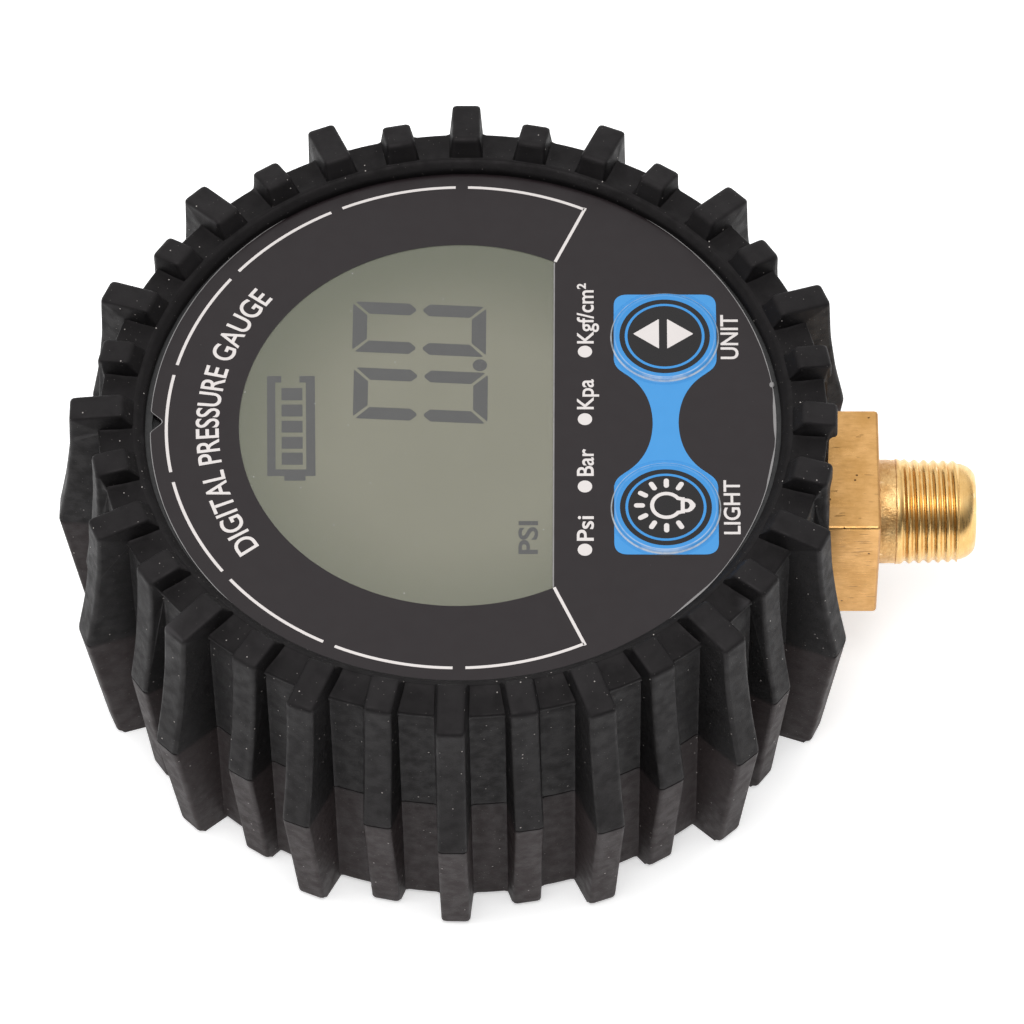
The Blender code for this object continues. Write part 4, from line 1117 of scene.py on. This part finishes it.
def make_fitting():
    neck, thread = 1, 2
    steps = 128
    bm = bmesh.new()
    rings = []
    count = 150
    stations = [BLOCK_END - 0.5, BLOCK_END + 0.3]
    stations += [BLOCK_END + 0.6 + (TIP_END - BLOCK_END - 0.6) * index / count for index in range(count + 1)]
    for along in stations:
        ring = []
        for step in range(steps):
            angle = 2 * math.pi * step / steps
            radius = thread_radius(along, angle)
            rough = 0.035 * noise.noise(Vector((along * 1.4, math.cos(angle) * 5, math.sin(angle) * 5)))
            if along < THREAD_START:
                radius += rough - 0.03
            ring.append((along, radius * math.cos(angle), radius * math.sin(angle)))
        rings.append(ring)
    mouth = ((TIP_END, BORE_RADIUS + 0.25), (TIP_END - 0.25, BORE_RADIUS), (BLOCK_END - 0.5, BORE_RADIUS))
    angles = [2 * math.pi * step / steps for step in range(steps)]
    for along, radius in mouth:
        rings.append([(along, radius * math.cos(a), radius * math.sin(a)) for a in angles])
    rows = [[bm.verts.new((x, y, z + FITTING_LEVEL)) for x, y, z in ring] for ring in rings]
    for row, (ring, following) in enumerate(zip(rows, rows[1:] + rows[:1])):
        along = stations[min(row, len(stations) - 1)]
        add_skin(bm, ring, following, neck if along < THREAD_START + 0.1 else thread)
    fitting = add_object("fitting_body", bm, [BRASS_BLOCK, BRASS_NECK, BRASS_THREAD])
    block = bmesh.new()
    low = (BLOCK_START, FITTING_LOW.y, FITTING_LOW.z)
    add_block(block, low, (BLOCK_END, FITTING_HIGH.y, FITTING_HIGH.z), 0.36, 5)
    combined(fitting, "fitting_block", block, "UNION")
    low, high = BLOCK_START + 2, BLOCK_END + 1
    bore = along_fitting([(0, low), (BORE_RADIUS, low), (BORE_RADIUS, high), (0, high)])
    combined(fitting, "fitting_bore", bore, "DIFFERENCE")
    root = BLOCK_START + 0.5
    shank = along_fitting([(0, 25.7), (5.1, 25.7), (5.3, 25.9), (5.3, root), (0, root)])
    combined(fitting, "fitting_shank", shank, "UNION")
    pocket = along_fitting([(0, 25.0), (4.0, 25.0), (4.0, 30.0), (0, 30.0)])
    combined(fitting, "sensor_pocket", pocket, "DIFFERENCE")
    sharpen(fitting, 50)
    fitting.modifiers.new("weighted", "WEIGHTED_NORMAL").keep_sharp = True
    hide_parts("brass_fitting")


# Back: door grooves, screw heads and the CAD shells' softened edges

def make_screw(name, node, radius):
    """A pan-head screw with a cross recess, in the place of a CAD screw whose head faces -Z."""
    low, high = box_mm(node)
    x, y = (low.x + high.x) / 2, (low.y + high.y) / 2
    head = 1.35 if node.startswith("case") else 0.25
    shaft = 0.7
    profile = [(0, low.z), (radius * 0.7, low.z + 0.02), (radius * 0.93, low.z + head * 0.25),
               (radius, low.z + head * 0.6), (radius, low.z + head), (shaft, low.z + head)]
    profile += [(shaft + (0.12 if turn % 2 else -0.05), low.z + head + 0.3 + 0.25 * turn)
                for turn in range(8)]
    profile += [(shaft, high.z - 0.5), (0.2, high.z), (0, high.z)]
    profile = [(r, min(z, high.z)) for r, z in profile]
    screw = add_object(name, turned(profile, 32, (x, y), closed=False), [STEEL])
    for wide, deep in ((1.9, 0.42), (0.42, 1.9)):
        slot = bmesh.new()
        made = bmesh.ops.create_cube(slot, size=1.0)["verts"]
        depth = min(0.8, head * 0.7)
        bmesh.ops.scale(slot, vec=(wide * radius / 1.75, deep * radius / 1.75, depth * 2), verts=made)
        for vert in made:
            if vert.co.z > 0:
                vert.co.x *= 0.7
                vert.co.y *= 0.7
        bmesh.ops.translate(slot, vec=(x, y, low.z), verts=made)
        combined(screw, "cross", slot, "DIFFERENCE")
    sharpen(screw, 35)
    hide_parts(node)


DOOR_SCREW_Y = 24.9


def make_door():
    """Battery door with grooves, an arrow and panel lines cut in, so nothing stands below the rear plane."""
    x = (DOOR_LOW.x + DOOR_HIGH.x) / 2
    half_width = (DOOR_HIGH.x - DOOR_LOW.x) / 2
    length = 22.6
    bm = bmesh.new()
    add_block(bm, (x - half_width, -length, 0.0), (x + half_width, length, 1.5), 0.25)
    door = add_object("door_panel", bm, [CASE_PLASTIC])
    combined_block(door, "tab", (x - 3.0, length - 1.0, 0.0), (x + 3.0, 27.2, 0.9), 0.2, "UNION")
    combined_block(door, "hook_rise", (x - 3.0, -length + 0.4, 1.2), (x + 3.0, -20.8, 2.7), 0.0, "UNION")
    combined_block(door, "hook", (x - 3.0, -length - 1.4, 2.1), (x + 3.0, -20.8, 2.7), 0.1, "UNION")
    grooves = bmesh.new()
    for index in range(7):
        y = 10.0 + index * 1.3
        add_block(grooves, (x - 5.5, y, -0.5), (x + 5.5, y + 0.65, 0.35), 0.15)
    combined(door, "grip", grooves, "DIFFERENCE")
    arrow = prism([(x, 8.4), (x - 2.2, 5.4), (x + 2.2, 5.4)], -0.5, 0.3)
    combined(door, "arrow", arrow, "DIFFERENCE")
    panel = [((-7.4, -17.8), (7.4, -17.3)), ((-7.4, 2.3), (7.4, 2.8)),
             ((-7.4, -17.4), (-6.9, 2.4)), ((6.9, -17.4), (7.4, 2.4))]
    for low, high in panel:
        combined_block(door, "panel_line", (x + low[0], low[1], -0.5), (x + high[0], high[1], 0.18))
    seat = [(0, -1), (2.0, -1), (2.0, 0.45), (1.1, 0.45), (1.1, 3), (0, 3)]
    combined(door, "screw_seat", turned(seat, 48, (x, DOOR_SCREW_Y), closed=False), "DIFFERENCE")
    sharpen(door, 30)
    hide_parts("battery_door")


def soften(node, width):
    """Rounds a CAD node's edges without touching its mesh."""
    obj = frame["nodes"][node]
    weld = obj.modifiers.new("weld", "WELD")
    weld.merge_threshold = 0.001 * MM
    bevel = obj.modifiers.new("bevel", "BEVEL")
    bevel.width = width * MM
    bevel.segments = 2
    bevel.limit_method = "ANGLE"
    bevel.angle_limit = math.radians(40)


def dress_nodes():
    """Gives every CAD node that stays its finished material."""
    slots = {entry["node"]: entry["material_slot"] for entry in frame["record"]["subparts"]}
    for name, obj in frame["nodes"].items():
        slot = slots.get(name)
        if slot not in INNER_LOOKS:
            continue
        obj.data.materials.clear()
        obj.data.materials.append(INNER_LOOKS[slot])


# Stage

def make_stage():
    bm = bmesh.new()
    add_prism(bm, [(-2000, -2000), (2000, -2000), (2000, 2000), (-2000, 2000)], -20.0, -0.02)
    floor_shader = Shader("floor", Emission_Strength=0.46)
    tint = floor_shader.blend(floor_shader.noise(0.01, 3.0), (0.93, 0.93, 0.93), (0.96, 0.96, 0.96))
    paper = floor_shader.finish(tint, 0.9, floor_shader.bump(floor_shader.noise(0.8, 4.0), 0.02))
    floor = add_object("floor", bm, [paper], body=None)
    world = bpy.data.worlds.new("studio")
    bpy.context.scene.world = world
    world.use_nodes = True
    tree = world.node_tree
    height = tree.nodes.new("ShaderNodeSeparateXYZ")
    tree.links.new(tree.nodes.new("ShaderNodeTexCoord").outputs["Generated"], height.inputs[0])
    rise = tree.nodes.new("ShaderNodeMapRange")
    rise.interpolation_type = "SMOOTHSTEP"
    for socket, value in (("From Min", 0.10), ("From Max", 0.80), ("To Min", 0.16), ("To Max", 1.08)):
        rise.inputs[socket].default_value = value
    lean = tree.nodes.new("ShaderNodeMath")
    lean.operation = "MULTIPLY_ADD"
    lean.inputs[1].default_value = 0.5
    tree.links.new(height.outputs["Y"], lean.inputs[0])
    tree.links.new(height.outputs["Z"], lean.inputs[2])
    tree.links.new(lean.outputs[0], rise.inputs["Value"])
    tree.nodes["Background"].inputs["Color"].default_value = (1.0, 1.0, 1.0, 1.0)
    tree.links.new(rise.outputs[0], tree.nodes["Background"].inputs["Strength"])
    add_light("key", (-0.06, -0.24, 0.95), 0.5, 2.8)
    add_light("left", (-0.75, -0.20, 0.55), 0.4, 0.8)


def add_light(name, place, size, power):
    light = bpy.data.lights.new(name, "AREA")
    light.shape = "DISK"
    light.size = size
    light.energy = power
    holder = linked(name, light)
    holder.location = place
    aim = Vector((0.0, 0.0, 0.02)) - Vector(place)
    holder.rotation_mode = "QUATERNION"
    holder.rotation_quaternion = aim.to_track_quat("-Z", "Y")


def make_camera():
    target = Vector((4.764, -10.437, 32.0)) * MM
    elevation, azimuth, roll = (math.radians(value) for value in (55.854, -1.102, -0.919))
    distance = 665.11 * MM
    forward = Vector((math.sin(azimuth) * math.cos(elevation), math.cos(azimuth) * math.cos(elevation),
                      -math.sin(elevation)))
    level_right = Vector((math.cos(azimuth), -math.sin(azimuth), 0.0))
    level_up = level_right.cross(forward)
    right = math.cos(roll) * level_right + math.sin(roll) * level_up
    up = -math.sin(roll) * level_right + math.cos(roll) * level_up
    camera = bpy.data.cameras.new("camera")
    camera.lens = 245.57
    camera.sensor_width = 36.0
    camera.clip_start = 0.05
    camera.clip_end = 20.0
    holder = linked("camera", camera)
    place = target - forward * distance
    holder.matrix_world = Matrix.Translation(place) @ Matrix((right, up, -forward)).transposed().to_4x4()
    bpy.context.scene.camera = holder
    bpy.context.scene.view_settings.view_transform = "Standard"


dress_nodes()
make_boot()
make_film()
make_lines()
make_labels()
make_blue_print()
for button, centre in BUTTONS.items():
    make_dome(button, centre)
make_icons()
make_display()
make_fitting()
make_door()
for number in range(1, 5):
    make_screw(f"case_screw_head_{number}", f"case_screw_{number}", 1.7)
make_screw("door_screw_head", "door_screw", 1.75)
soften("front_case", 0.12)
soften("back_case", 0.2)
make_stage()
make_camera()
